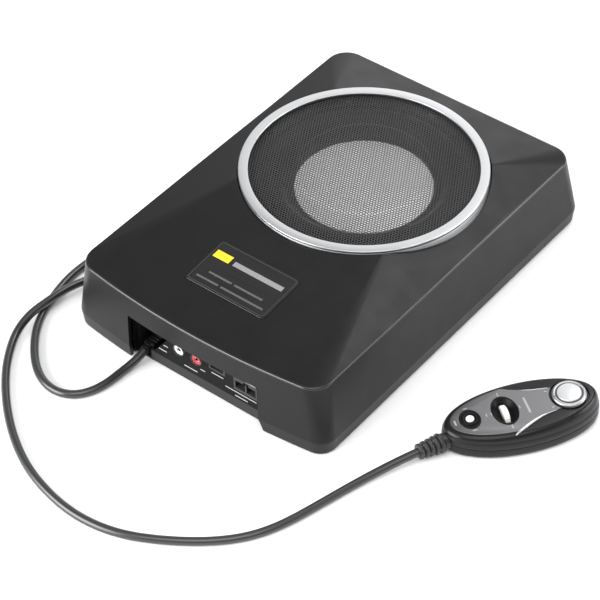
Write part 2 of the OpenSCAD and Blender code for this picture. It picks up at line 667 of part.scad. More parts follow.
module phase_button() color("#222224") at_button() difference() {
    union() {
        translate([0, 0, -2.4]) cylinder(r = 5.3, h = 3.6);
        translate([0, 0, 1.2]) cylinder(r1 = 5.3, r2 = 4.8, h = 0.4);
        translate([0, 0, -stem_h]) cylinder(r = 2, h = 4.4);
    }
    translate([0, 0, 1]) cylinder(r = 2.6, h = 2);
}

module button_lens() color("#f2f2f0") at_button() translate([0, 0, 1]) {
    cylinder(r = 2.55, h = 0.6);
    translate([0, 0, 0.6]) cylinder(r1 = 2.55, r2 = 2.1, h = 0.3);
}

module button_bezel() color("#0e0e0f") at_button() difference() {
    union() {
        translate([0, 0, -1.6]) cylinder(r = 6.4, h = 2.3);
        translate([0, 0, 0.65]) linear_extrude(0.5) oval(6.6, 7.8);
    }
    translate([0, 0, -3]) cylinder(r = 5.36, h = 6);
}

// Its plunger ends just below the lowest place of the button's stem
module push_switch() color("#3a3a3e") in_remote() translate([button_s, 0, remote_pcb_top]) {
    translate([-3, -3, 0]) cube([6, 6, 3.2]);
    translate([0, 0, 3.2]) cylinder(r = 1.6, h = switch_room - button_travel - 0.2);
}

top_shell();
base_pan();
rubber_feet();
base_screws();
trim_ring();
collar();
grille_mesh();
grille_retainer();
badge();
basket();
basket_gasket();
driver_screws();
surround();
surround_clamp();
cone();
cone_cap();
voice_coil_former();
voice_coil_winding();
spider();
top_plate();
ring_magnet();
yoke();
driver_terminals();
speaker_leads();
amp_board();
board_standoffs();
heat_sink();
power_transistors();
toroid_choke();
capacitors();
fuse();
pocket_liner();
connector_panel();
panel_screws();
rca_jack_white();
rca_jack_red();
rca_barrels();
rca_contacts();
input_socket();
power_socket();
socket_pins();
remote_socket();
remote_plug();
remote_cord();
remote_boot();
remote_base();
remote_cover();
remote_face();
remote_pads();
remote_screws();
remote_board();
volume_pot();
volume_shaft();
volume_knob();
crossover_wheel();
wheel_cradle();
phase_button();
button_lens();
button_bezel();
push_switch();
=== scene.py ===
"""Looks of a flat under-seat powered subwoofer with a wired remote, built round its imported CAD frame.

Lengths are millimetres in the part's own frame, and each mesh is scaled to metres when it is made; only
the floor and the lights are placed in metres. The floor is z = 0, the connectors face -Y, and the housing
stands round the Z axis.
"""

import math

import bmesh
import bpy
from mathutils import Matrix, Vector


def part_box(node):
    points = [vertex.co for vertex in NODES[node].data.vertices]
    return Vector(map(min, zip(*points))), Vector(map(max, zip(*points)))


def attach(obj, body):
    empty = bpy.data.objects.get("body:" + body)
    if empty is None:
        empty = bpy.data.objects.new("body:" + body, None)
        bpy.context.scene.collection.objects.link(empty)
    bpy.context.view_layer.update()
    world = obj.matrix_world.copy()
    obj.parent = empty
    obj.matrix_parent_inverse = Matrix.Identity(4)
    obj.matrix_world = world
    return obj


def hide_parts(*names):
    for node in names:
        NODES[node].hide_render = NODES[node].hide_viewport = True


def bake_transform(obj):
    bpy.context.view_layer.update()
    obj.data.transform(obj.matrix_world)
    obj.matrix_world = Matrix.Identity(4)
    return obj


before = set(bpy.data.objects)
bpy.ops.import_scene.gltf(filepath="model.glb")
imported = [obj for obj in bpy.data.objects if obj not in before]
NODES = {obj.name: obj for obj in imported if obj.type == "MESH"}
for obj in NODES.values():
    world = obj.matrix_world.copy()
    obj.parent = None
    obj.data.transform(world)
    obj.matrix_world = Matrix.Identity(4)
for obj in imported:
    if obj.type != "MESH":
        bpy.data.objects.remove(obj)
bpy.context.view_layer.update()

MM = 0.001
UNIT = "unit"
CONE = "cone_assembly"
KNOB = "knob"
WHEEL = "thumb_wheel"
BUTTON = "button"


def box_mm(node):
    """Lowest and highest corner of a CAD node, in millimetres."""
    lo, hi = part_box(node)
    return lo / MM, hi / MM


# ---- driving places, read from the frame ----

ring_lo, ring_hi = box_mm("trim_ring")
DRIVER = Vector(((ring_lo.x + ring_hi.x) / 2, (ring_lo.y + ring_hi.y) / 2, 0))
AT_DRIVER = Matrix.Translation(DRIVER)
RING_TOP = ring_hi.z
FOOT_H = box_mm("rubber_feet")[1].z
PANEL_Y = box_mm("connector_panel")[0].y
RCA_FRONT = box_mm("rca_barrels")[0].y
RCA_Z = sum(v.z for v in box_mm("rca_barrels")) / 2
RCA_X = [sum(v.x for v in box_mm(n)) / 2 for n in ("rca_jack_white", "rca_jack_red")]
knob_lo, knob_hi = box_mm("volume_knob")

# Housing, as the CAD model has it: rim, bows, base flare, crease near the foot, and the flat under the drum
RIM_W, RIM_L, RIM_Z = 190.0, 271.0, 53.5
FRONT_BOW, BASE_BOW = 8.2, 7.5
FLARE, FRONT_FLARE = 5.5, 1.7
RIM_R, BASE_R = 14.5, 12.0
WALL = 2.5
CREASE_Z, CREASE_IN = 11.0, 1.0
QUAD_FRONT, QUAD_BACK = (57.8, -22.5), (64.0, 86.0)
QUAD_RISE = 9.7
FRONT_Y = -RIM_L / 2 - FRONT_BOW
FRONT_SLOPE = QUAD_RISE / (QUAD_FRONT[1] - FRONT_Y)
BACK_SLOPE = QUAD_RISE / (RIM_L / 2 - QUAD_BACK[1])

# Remote
REMOTE_AT = Vector((177.4, -43.4, 0.0))
REMOTE_TURN = math.radians(54.5)
REMOTE_A, REMOTE_B = 50.0, 23.3
FACE_Z, FACE_TILT = 18.2, math.radians(2.4)
SPLIT_Z, PAD_H = 8.0, 0.8
KNOB_S, WHEEL_S, BUTTON_S = 30.5, -10.6, -32.8
WHEEL_R, WHEEL_Z = 8.0, 11.6

IN_REMOTE = Matrix.Translation(REMOTE_AT) @ Matrix.Rotation(REMOTE_TURN, 4, "Z")
ON_FACE = IN_REMOTE @ Matrix.Translation((0, 0, FACE_Z)) @ Matrix.Rotation(-FACE_TILT, 4, "Y")


def on_face(s):
    """Frame on the remote's top plane at distance s along it."""
    lift = Matrix.Translation((s, 0, FACE_Z + s * math.tan(FACE_TILT)))
    return IN_REMOTE @ lift @ Matrix.Rotation(-FACE_TILT, 4, "Y")


# ---- camera ----


def make_camera():
    az, el, roll = math.radians(38.9086), math.radians(43.8924), math.radians(-1.0717)
    back = Vector((math.sin(az) * math.cos(el), -math.cos(az) * math.cos(el), math.sin(el)))
    right = Vector((math.cos(az), math.sin(az), 0))
    up = back.cross(right)
    right_rolled = right * math.cos(roll) + up * math.sin(roll)
    up_rolled = up * math.cos(roll) - right * math.sin(roll)
    place = right_rolled * -0.1109 + up_rolled * -0.1162 + back * 8.1128
    data = bpy.data.cameras.new("camera")
    data.sensor_width = 36
    data.lens = 141.92
    data.clip_start, data.clip_end = 0.05, 20
    camera = bpy.data.objects.new("camera", data)
    bpy.context.scene.collection.objects.link(camera)
    turn = Matrix((right_rolled, up_rolled, back)).transposed().to_4x4()
    camera.matrix_world = Matrix.Translation(place * RIM_W * MM + Vector((0, 0, FOOT_H * MM))) @ turn
    bpy.context.scene.camera = camera


make_camera()

# ---- materials ----


class Nodes:
    """A material under construction, with short calls for the nodes it uses."""

    def __init__(self, name, color, roughness, metallic=0.0, specular=0.5):
        self.mat = bpy.data.materials.new(name)
        self.mat.use_nodes = True
        self.tree = self.mat.node_tree
        self.bsdf = self.tree.nodes["Principled BSDF"]
        self.color = color
        self.bsdf.inputs["Base Color"].default_value = (*color, 1)
        self.bsdf.inputs["Roughness"].default_value = roughness
        self.bsdf.inputs["Metallic"].default_value = metallic
        self.bsdf.inputs["Specular IOR Level"].default_value = specular
        self.normal = None

    def node(self, kind, **values):
        made = self.tree.nodes.new(kind)
        for key, value in values.items():
            setattr(made, key, value)
        return made

    def link(self, a, b):
        self.tree.links.new(a, b)

    def place(self):
        """Object coordinates, in metres in the part's frame."""
        return self.node("ShaderNodeTexCoord").outputs["Object"]

    def stretched(self, scale):
        mapping = self.node("ShaderNodeMapping")
        mapping.inputs["Scale"].default_value = scale
        self.link(self.place(), mapping.inputs["Vector"])
        return mapping.outputs["Vector"]

    def noise(self, scale, detail=3.0, rough=0.5, vector=None):
        made = self.node("ShaderNodeTexNoise")
        made.inputs["Scale"].default_value = scale
        made.inputs["Detail"].default_value = detail
        made.inputs["Roughness"].default_value = rough
        self.link(vector or self.place(), made.inputs["Vector"])
        return made.outputs["Fac"]

    def tint(self, value, dark, light):
        """Base colour that runs between dark and light shares of the colour with value."""
        made = self.node("ShaderNodeMix", data_type="RGBA")
        made.inputs["A"].default_value = (*[min(1, c * dark) for c in self.color], 1)
        made.inputs["B"].default_value = (*[min(1, c * light) for c in self.color], 1)
        self.link(value, made.inputs["Factor"])
        self.link(made.outputs["Result"], self.bsdf.inputs["Base Color"])

    def rough(self, value, low, high):
        """Roughness that runs from low to high over the middle of value's range."""
        made = self.node("ShaderNodeMapRange")
        for key, number in zip(("From Min", "From Max", "To Min", "To Max"), (0.3, 0.7, low, high)):
            made.inputs[key].default_value = number
        self.link(value, made.inputs["Value"])
        self.link(made.outputs["Result"], self.bsdf.inputs["Roughness"])

    def bump(self, height, distance, strength=1.0):
        made = self.node("ShaderNodeBump")
        made.inputs["Strength"].default_value = strength
        made.inputs["Distance"].default_value = distance
        self.link(height, made.inputs["Height"])
        if self.normal is not None:
            self.link(self.normal, made.inputs["Normal"])
        self.normal = made.outputs["Normal"]
        self.link(self.normal, self.bsdf.inputs["Normal"])


def housing_paint(name="housing_paint", roughness=0.36, specular=0.22):
    m = Nodes(name, (0.0065, 0.0065, 0.0067), roughness, specular=specular)
    grain = m.noise(1500, 2, 0.6)
    m.tint(m.noise(900, 2), 0.75, 1.35)
    m.rough(m.noise(60, 4), roughness - 0.04, roughness + 0.04)
    m.bump(grain, 0.00006, 0.55)
    m.bump(m.noise(14, 2), 0.0003, 0.05)
    return m.mat


def pan_paint():
    m = Nodes("pan_paint", (0.016, 0.016, 0.0165), 0.5, specular=0.3)
    m.tint(m.noise(500, 2), 0.8, 1.3)
    m.bump(m.noise(1200, 2), 0.00005, 0.5)
    return m.mat


def ring_satin(name="ring_satin", color=(0.6, 0.605, 0.615), roughness=0.31):
    m = Nodes(name, color, roughness, metallic=1.0)
    m.tint(m.noise(2200, 2), 0.97, 1.0)
    m.rough(m.noise(40, 3), roughness - 0.02, roughness + 0.03)
    return m.mat


def mesh_paint():
    m = Nodes("mesh_paint", (0.034, 0.034, 0.034), 0.34, specular=0.5)
    m.tint(m.noise(300, 3), 0.8, 1.25)
    m.bump(m.noise(2600, 2), 0.00002, 0.3)
    return m.mat


def badge_plate():
    m = Nodes("badge_plate", (0.007, 0.007, 0.0073), 0.36, specular=0.4)
    lines = m.noise(900, 3, 0.6, m.stretched((0.04, 1, 1)))
    m.tint(lines, 0.75, 1.3)
    m.rough(lines, 0.3, 0.42)
    m.bump(lines, 0.00002, 0.4)
    return m.mat


def printed(name, color, roughness=0.5):
    m = Nodes(name, color, roughness)
    m.tint(m.noise(1500, 2), 0.88, 1.06)
    m.bump(m.noise(3000, 2), 0.00001, 0.3)
    return m.mat


def cone_silver():
    m = Nodes("cone_silver", (0.9, 0.905, 0.91), 0.45, metallic=0.25)
    m.tint(m.noise(700, 4, 0.7), 0.9, 1.08)
    m.rough(m.noise(120, 3), 0.38, 0.5)
    m.bump(m.noise(1600, 3), 0.00003, 0.5)
    return m.mat


def pulp():
    m = Nodes("pulp", (0.03, 0.03, 0.032), 0.75)
    m.tint(m.noise(420, 6, 0.7), 0.6, 1.7)
    m.bump(m.noise(900, 5, 0.7), 0.00012, 0.8)
    return m.mat


def rubber(name="rubber", color=(0.014, 0.014, 0.014), roughness=0.42, specular=0.5):
    m = Nodes(name, color, roughness, specular=specular)
    m.tint(m.noise(180, 4), 0.8, 1.3)
    m.rough(m.noise(90, 3), roughness - 0.05, roughness + 0.08)
    m.bump(m.noise(1300, 2), 0.00003, 0.35)
    return m.mat


def cord_jacket():
    m = Nodes("cord_jacket", (0.019, 0.019, 0.02), 0.3, specular=0.8)
    m.tint(m.noise(2500, 2), 0.92, 1.08)
    m.bump(m.noise(2500, 2), 0.00001, 0.2)
    return m.mat


def satin_plastic(name, color, roughness=0.4, grain=900, depth=0.00003, specular=0.5):
    m = Nodes(name, color, roughness, specular=specular)
    m.tint(m.noise(grain / 3, 3), 0.85, 1.2)
    m.rough(m.noise(70, 3), roughness - 0.04, roughness + 0.06)
    m.bump(m.noise(grain, 2), depth, 0.5)
    return m.mat


def metal(name, color, roughness, grain=1200, stretch=(1, 1, 1)):
    m = Nodes(name, color, roughness, metallic=1.0)
    lines = m.noise(grain, 3, 0.6, m.stretched(stretch))
    m.tint(lines, 0.85, 1.1)
    m.rough(lines, roughness * 0.8, roughness * 1.25)
    m.bump(lines, 0.00002, 0.4)
    return m.mat


def spun(name, color, roughness, metallic, centre):
    """Metal turned about a vertical axis through centre: fine rings round it."""
    m = Nodes(name, color, roughness, metallic=metallic)
    offset = m.node("ShaderNodeVectorMath", operation="SUBTRACT")
    offset.inputs[1].default_value = (centre.x * MM, centre.y * MM, 0)
    m.link(m.place(), offset.inputs[0])
    flat = m.node("ShaderNodeVectorMath", operation="MULTIPLY")
    flat.inputs[1].default_value = (1, 1, 0)
    m.link(offset.outputs["Vector"], flat.inputs[0])
    radius = m.node("ShaderNodeVectorMath", operation="LENGTH")
    m.link(flat.outputs["Vector"], radius.inputs[0])
    rings = m.noise(4000, 3, 0.6, radius.outputs["Value"])
    m.tint(rings, 0.88, 1.06)
    m.rough(rings, roughness * 0.85, roughness * 1.2)
    m.bump(rings, 0.00002, 0.35)
    return m.mat


def woven(name, color):
    """Resin-treated cloth: two crossed sets of threads."""
    m = Nodes(name, color, 0.8)
    threads = []
    for scale in ((1, 0, 0), (0, 1, 0)):
        wave = m.node("ShaderNodeTexWave", wave_type="BANDS")
        wave.inputs["Scale"].default_value = 260
        m.link(m.stretched(scale), wave.inputs["Vector"])
        threads.append(wave.outputs["Fac"])
    both = m.node("ShaderNodeMath", operation="MULTIPLY")
    m.link(threads[0], both.inputs[0])
    m.link(threads[1], both.inputs[1])
    m.tint(both.outputs["Value"], 0.6, 1.3)
    m.bump(both.outputs["Value"], 0.0001, 0.6)
    return m.mat


HOUSING = housing_paint()
HOUSING_RIM = housing_paint("housing_rim_paint", 0.28, 0.6)
PAN = pan_paint()
RING = ring_satin()
COLLAR = ring_satin("collar_satin_metal", (0.4, 0.405, 0.41), 0.36)
MESH = mesh_paint()
BADGE = badge_plate()
BADGE_EDGE = printed("badge_edge", (0.045, 0.045, 0.047), 0.35)
YELLOW = printed("accent_yellow", (0.7, 0.54, 0.015))
LIGHT_PRINT = printed("light_print", (0.36, 0.36, 0.355))
SILVER_CONE = cone_silver()
PULP = pulp()
RUBBER = rubber()
ROLL = rubber("roll_rubber", (0.004, 0.004, 0.004), 0.42, 0.2)
CORD = cord_jacket()
BASKET = satin_plastic("basket_paint", (0.007, 0.007, 0.0075), 0.42, 700, specular=0.2)
STEEL = metal("zinc_steel", (0.5, 0.51, 0.53), 0.35)
SCREW = metal("black_screw", (0.08, 0.08, 0.085), 0.35)
FERRITE = satin_plastic("ferrite", (0.05, 0.05, 0.054), 0.6, 500, 0.00008)
COPPER = metal("enamelled_copper", (0.62, 0.26, 0.1), 0.3, 2500, (1, 1, 0.1))
KAPTON = satin_plastic("amber_film", (0.42, 0.2, 0.03), 0.25)
CLOTH = woven("spider_cloth", (0.32, 0.2, 0.08))
BOARD = satin_plastic("solder_mask", (0.01, 0.075, 0.03), 0.3, 400)
ALU = metal("drawn_aluminium", (0.6, 0.61, 0.63), 0.4, 900, (0.05, 1, 1))
EPOXY = satin_plastic("epoxy", (0.02, 0.02, 0.02), 0.55, 1500)
SLEEVE = satin_plastic("sleeve", (0.012, 0.016, 0.04), 0.25, 300)
FUSE_RED = satin_plastic("fuse_red", (0.5, 0.04, 0.03), 0.2)
PANEL = satin_plastic("panel_plastic", (0.004, 0.004, 0.0041), 0.6, 1100, specular=0.12)
LINER = satin_plastic("liner_plastic", (0.004, 0.004, 0.004), 0.7, 800)
WHITE = satin_plastic("white_plastic", (0.6, 0.6, 0.6), 0.3)
RED = satin_plastic("red_plastic", (0.4, 0.03, 0.035), 0.3)
NICKEL = metal("nickel", (0.78, 0.77, 0.75), 0.2)
GOLD = metal("gold_flash", (0.82, 0.58, 0.2), 0.25)
SOCKET = satin_plastic("socket_nylon", (0.03, 0.03, 0.031), 0.5, specular=0.3)
REMOTE_GLOSS = satin_plastic("remote_plastic", (0.006, 0.006, 0.0062), 0.3, 700, 0.00002, specular=0.3)
KNOB_SILVER = spun("knob_silver", (0.45, 0.455, 0.465), 0.34, 0.9, (knob_lo + knob_hi) / 2)
KNOB_DISC = spun("knob_disc_silver", (0.56, 0.565, 0.57), 0.36, 0.55, (knob_lo + knob_hi) / 2)
# Dark metal of the thin ring on the knob groove's floor: painted shade of the groove.
KNOB_GROOVE_SHADE = metal("knob_painted_groove_shade", (0.1, 0.1, 0.1), 0.4)
WHEEL_WHITE = satin_plastic("wheel_white", (0.7, 0.7, 0.69), 0.35)
LENS = satin_plastic("lens_milk", (0.9, 0.9, 0.89), 0.15)
FACE = metal("face_lacquer", (0.2, 0.2, 0.205), 0.38, 1500)
BARREL = metal("dark_nickel", (0.13, 0.13, 0.13), 0.3)
FACE_TRIM = metal("face_trim", (0.62, 0.62, 0.63), 0.3)
BLACK_GLOSS = satin_plastic("black_gloss", (0.003, 0.003, 0.003), 0.4, 600, 0.00001, specular=0.15)

# ---- mesh helpers ----

MERGE, SLIVER = 1e-7, 1e-8  # metres


def add_object(name, data):
    obj = bpy.data.objects.new(name, data)
    bpy.context.scene.collection.objects.link(obj)
    return obj


def new_mesh(name, verts, faces, place=None):
    """A mesh in metres, from points in millimetres in the frame that place gives."""
    place = place or Matrix.Identity(4)
    mesh = bpy.data.meshes.new(name)
    mesh.from_pydata([tuple((place @ Vector(v)) * MM) for v in verts], [], faces)
    return mesh


def clean(mesh, merge=False, dissolve=False):
    """Turns the faces outward, after joining points that fall together where asked."""
    bm = bmesh.new()
    bm.from_mesh(mesh)
    if merge:
        bmesh.ops.remove_doubles(bm, verts=bm.verts, dist=MERGE)
    if dissolve:
        bmesh.ops.dissolve_degenerate(bm, dist=SLIVER, edges=bm.edges)
    bmesh.ops.recalc_face_normals(bm, faces=bm.faces)
    bm.to_mesh(mesh)
    bm.free()


def mark_sharp(obj, angle):
    obj.data.set_sharp_from_angle(angle=math.radians(angle))


def piece(name, verts, faces, mat, body=UNIT, slot=None, place=None, sharp=32, replaces=()):
    """A visible piece that rides on a body and stands for the CAD nodes in replaces."""
    mesh = new_mesh(name, verts, faces, place)
    mesh.validate()
    clean(mesh)
    mesh.materials.append(mat)
    mesh.polygons.foreach_set("use_smooth", [True] * len(mesh.polygons))
    obj = add_object(name, mesh)
    mark_sharp(obj, sharp)
    if replaces:
        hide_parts(*replaces)
    if body:
        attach(obj, body)
    return obj


def loft(rows, closed_u=True, closed_v=False, cap_start=False, cap_end=False):
    """Vertices and faces through rows of points of one length."""
    n = len(rows[0])
    verts = [p for row in rows for p in row]
    faces = []
    v_count = len(rows) if closed_v else len(rows) - 1
    u_count = n if closed_u else n - 1
    for j in range(v_count):
        a, b = j * n, ((j + 1) % len(rows)) * n
        for i in range(u_count):
            k = (i + 1) % n
            faces.append((a + i, a + k, b + k, b + i))
    if cap_start:
        faces.append(tuple(range(n)))
    if cap_end:
        faces.append(tuple(range((len(rows) - 1) * n, len(rows) * n)))
    return verts, faces


def capped(rows):
    return loft(rows, cap_start=True, cap_end=True)


def rounded(points, radius, steps=4):
    """A closed outline with each corner turned into an arc of at most that radius."""
    out = []
    n = len(points)
    for i, p in enumerate(points):
        p = Vector(p)
        before = Vector(points[i - 1]) - p
        after = Vector(points[(i + 1) % n]) - p
        half = before.angle(after) / 2
        r = radius[i] if isinstance(radius, (list, tuple)) else radius
        if r <= 0 or half > math.radians(88):
            out.append(tuple(p))
            continue
        reach = min(r / math.tan(half), before.length * 0.45, after.length * 0.45)
        a, b = p + before.normalized() * reach, p + after.normalized() * reach
        for k in range(steps + 1):
            out.append(tuple(arc_point(a, p, b, k / steps)))
    return out


def arc_point(a, corner, b, t):
    """Point at share t of the curve from a to b that a corner pulls out."""
    return a * (1 - t) ** 2 + corner * 2 * t * (1 - t) + b * t**2


def lathe(name, profile, mat, segments=192, closed=True, place=None, **rest):
    """Turns a profile of (radius, height) points about the local Z axis."""
    rows = []
    for i in range(segments):
        a = 2 * math.pi * i / segments
        rows.append([(r * math.cos(a), r * math.sin(a), z) for r, z in profile])
    verts, faces = loft(rows, closed_u=closed, closed_v=True)
    turned = piece(name, verts, faces, mat, place=place, **rest)
    clean(turned.data, merge=True, dissolve=True)
    return turned


def bevel(obj, width, segments=2, angle=35):
    mod = obj.modifiers.new("bevel", "BEVEL")
    mod.width = width * MM
    mod.segments = segments
    mod.limit_method = "ANGLE"
    mod.angle_limit = math.radians(angle)


def cut(obj, *tools):
    """Takes closed meshes out of obj, then removes them."""
    for tool in tools:
        mod = obj.modifiers.new("cut", "BOOLEAN")
        mod.object = tool
        mod.operation = "DIFFERENCE"
        mod.solver = "EXACT"
    bpy.context.view_layer.update()
    graph = bpy.context.evaluated_depsgraph_get()
    mesh = bpy.data.meshes.new_from_object(obj.evaluated_get(graph))
    obj.modifiers.clear()
    obj.data = mesh
    for tool in tools:
        bpy.data.objects.remove(tool)
    return obj


def carve(obj, sharp, *tools):
    """Cuts a piece, marks the new sharp edges and lets it ride on the unit."""
    cut(obj, *tools)
    mark_sharp(obj, sharp)
    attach(obj, UNIT)


def bare(name, verts, faces, place=None):
    """A closed mesh that is only a cutting tool."""
    mesh = new_mesh(name, verts, faces, place)
    clean(mesh, merge=True)
    return add_object(name, mesh)


def prism(outline, low, high):
    """Vertices and faces of an outline pulled from low to high along local Z."""
    return capped([[(x, y, z) for x, y in outline] for z in (low, high)])


def upright(outline, y0, y1):
    """Vertices and faces of an x, z outline pulled along Y."""
    return capped([[(x, y, z) for x, z in outline] for y in (y0, y1)])


def oval(a, b, n=96):
    return [(a * math.cos(2 * math.pi * i / n), b * math.sin(2 * math.pi * i / n)) for i in range(n)]


def rectangle(x0, x1, y0, y1):
    return [(x0, y0), (x1, y0), (x1, y1), (x0, y1)]


def box_outline(w, h, r, steps=5):
    return rounded(rectangle(-w / 2, w / 2, -h / 2, h / 2), r, steps)


def join(name, parts, mat, **rest):
    """One piece from several lists of vertices and faces."""
    verts, faces = [], []
    for v, f in parts:
        base = len(verts)
        verts += v
        faces += [tuple(i + base for i in face) for face in f]
    return piece(name, verts, faces, mat, **rest)


def finish_node(node, mat, edge):
    """Material and a fine edge on a CAD node that stays as it is."""
    obj = NODES[node]
    obj.data.materials.clear()
    obj.data.materials.append(mat)
    obj.data.polygons.foreach_set("material_index", [0] * len(obj.data.polygons))
    if edge:
        bevel(obj, edge, angle=40)


# ---- cord: it comes first of the pieces, because its room is checked ----

CORD_D = 5.4
LYING = CORD_D / 2 + 0.02
ROUTE = [
    (-42.7, -137, 7), (-43, -145, 4.6), (-45, -158, 2.7), (-46, -174, 2.7), (-54, -190, 2.7),
    (-71, -195, 2.7), (-91, -186, 2.7), (-109, -167, 2.7), (-119, -150, 2.7), (-125, -131, 2.7),
    (-129, -110, 2.7), (-127.5, -86, 2.7), (-125.5, -66, 2.7), (-122.5, -54.5, 2.7), (-114.5, -50, 2.7),
    (-106.5, -54.5, 2.7), (-103.5, -66, 2.7), (-107, -86, 3), (-113, -103, 4.8), (-117, -118, 7.2),
    (-119, -131, 8.5), (-120, -143, 8.6), (-122, -156, 7.2), (-121, -169, 4.2), (-116, -181, 2.7),
    (-104, -199, 2.7), (-86, -218, 2.7), (-64, -236, 2.7), (-38, -251, 2.7), (-12, -259, 2.7),
    (13, -262, 2.7), (39, -258, 2.7), (62, -247, 2.7), (84, -232, 2.7), (101, -215, 2.7),
    (112, -195, 2.7), (120, -168, 2.7), (128, -139, 2.8), (137, -116.5, 5.2), (143.6, -102.3, 6.6),
]


def spline(a, b, c, d, t):
    """Catmull-Rom point at share t of the way from b to c."""
    bend = (2 * a - 5 * b + 4 * c - d) * t * t
    return 0.5 * (2 * b + (c - a) * t + bend + (3 * b - a - 3 * c + d) * t**3)


def smooth_path(points, steps):
    p = [Vector(q) for q in points]
    out = []
    for i in range(len(p) - 1):
        before, after = p[max(i - 1, 0)], p[min(i + 2, len(p) - 1)]
        out += [spline(before, p[i], p[i + 1], after, k / steps) for k in range(steps)]
    return out + [p[-1]]


def relaxed(path, passes):
    """The same path with its small kinks eased away; its ends stay."""
    pts = [q.copy() for q in path]
    for _ in range(passes):
        eased = [pts[i] * 0.5 + (pts[i - 1] + pts[i + 1]) * 0.25 for i in range(1, len(pts) - 1)]
        pts = [pts[0]] + eased + [pts[-1]]
    return pts


def over_floor(path):
    """The path, lifted where the cord would sink into the floor."""
    for q in path:
        q.z = max(q.z, LYING)
    return path


def tube_rows(path, radius, sides=24):
    """Rings of a round tube along a path that never turns straight up; radius(i) is its radius at ring i."""
    rows = []
    for i, q in enumerate(path):
        t = (path[min(i + 1, len(path) - 1)] - path[max(i - 1, 0)]).normalized()
        side = Vector((0, 0, 1)).cross(t).normalized()
        up = t.cross(side)
        rows.append([tuple(q + side * x + up * y) for x, y in oval(radius(i), radius(i), sides)])
    return rows


def make_cord():
    path = over_floor(relaxed(over_floor(smooth_path(ROUTE, 10)), 30))
    verts, faces = capped(tube_rows(path, lambda i: CORD_D / 2 - 0.02))
    cord = piece("remote_cord_jacket", verts, faces, CORD, slot="cord_black", sharp=50,
                 replaces=["remote_cord"])


# ---- cord's ends ----


def make_plug():
    """Moulded plug in the pocket, with ribs for the fingers and its short boot."""
    lo, hi = box_mm("remote_plug")
    x, z = (lo.x + hi.x) / 2, (lo.z + hi.z) / 2
    w, h = hi.x - lo.x, hi.z - lo.z
    stations = [(-112, 0.97), (-117.5, 0.97), (-118, 1.0), (-120, 1.0)]
    for i in range(5):
        y = -120.5 - i * 2.2
        stations += [(y, 1.0), (y - 0.3, 0.93), (y - 1.1, 0.93), (y - 1.4, 1.0)]
    stations += [(-131.8, 1.0), (-132.6, 0.95), (-133, 0.86)]
    body = [[(x + u, y, z + v) for u, v in box_outline(w * share, h * share, 1.6 * share)]
            for y, share in stations]
    tip = [[(x + u, y, z + v) for u, v in box_outline(w - 1.0, h - 0.8, 0.5)] for y in (-103, -112)]
    stub_line = [(-132.5, 3.4), (-134, 3.38), (-134.2, 3.0), (-134.9, 3.0), (-135.1, 3.3), (-136.6, 3.2),
                 (-137, 3.0)]
    stub = [[(ROUTE[0][0] + u, y, ROUTE[0][2] + v) for u, v in oval(r, r, 32)] for y, r in stub_line]
    plug_rubber = rubber("plug_rubber", (0.006, 0.006, 0.0062), 0.4, 0.2)
    join("remote_plug_body", [capped(body), capped(tip), capped(stub)], plug_rubber, slot="panel_black",
         replaces=["remote_plug"])


def make_boot():
    """Ribbed strain relief: ribs joined by two rows of bridges, as a moulded one has."""
    place = (Matrix.Translation(ROUTE[-1]) @ Matrix.Rotation(math.radians(66.3), 4, "Z")
             @ Matrix.Rotation(math.radians(90), 4, "Y"))
    ribs, pitch, sides, end_r = 5, 3.4, 48, 5.3
    rib_line = [(0, 0.55), (0.25, 0.9), (0.6, 1), (1.5, 1), (1.85, 0.9), (2.1, 0.5), (2.25, 0), (3.15, 0)]
    rows = []
    for i in range(ribs):
        crest = 5.0 + 0.32 * i
        core = crest - 1.35
        for dx, height in rib_line:
            row = []
            for k in range(sides):
                a = 2 * math.pi * k / sides
                bridge = max(0.0, math.cos(2 * a + (math.pi if i % 2 else 0))) ** 6 * 0.7
                r = core + (crest - core) * max(height, bridge)
                row.append((r * math.cos(a), r * math.sin(a), i * pitch + dx))
            rows.append(row)
    for x in (ribs * pitch, ribs * pitch + 3):
        rows.append([(u, v, x) for u, v in oval(end_r, end_r, sides)])
    piece("remote_boot_ribbed", *capped(rows), rubber("boot_rubber", (0.02, 0.02, 0.02), 0.38),
          slot="rubber_black", place=place, replaces=["remote_boot"], sharp=40)


make_plug()
make_boot()
make_cord()

# ---- housing shell: RIM_ROWS are its faces' rows on the rim's fillet ----

CORNER_N, SIDE_N, FRONT_N = 16, 30, 44
HOLE_R, UNDER_R = 82.2, 84.2
SKIN, FILLET, LIP = 3.0, 1.5, 0.35
RIM_ROWS = (11, 17)
RECESS = [(-50, -2), (-50, 37), (53, 37), (53, 12), (56.8, -2)]
BADGE_Y = -90.5


def spread(a, b, n):
    """n + 1 values from a to b."""
    return [a + (b - a) * i / n for i in range(n + 1)]


def arc_points(cx, cy, r, a0, a1, n):
    return [(cx + r * math.cos(a), cy + r * math.sin(a)) for a in spread(a0, a1, n)]


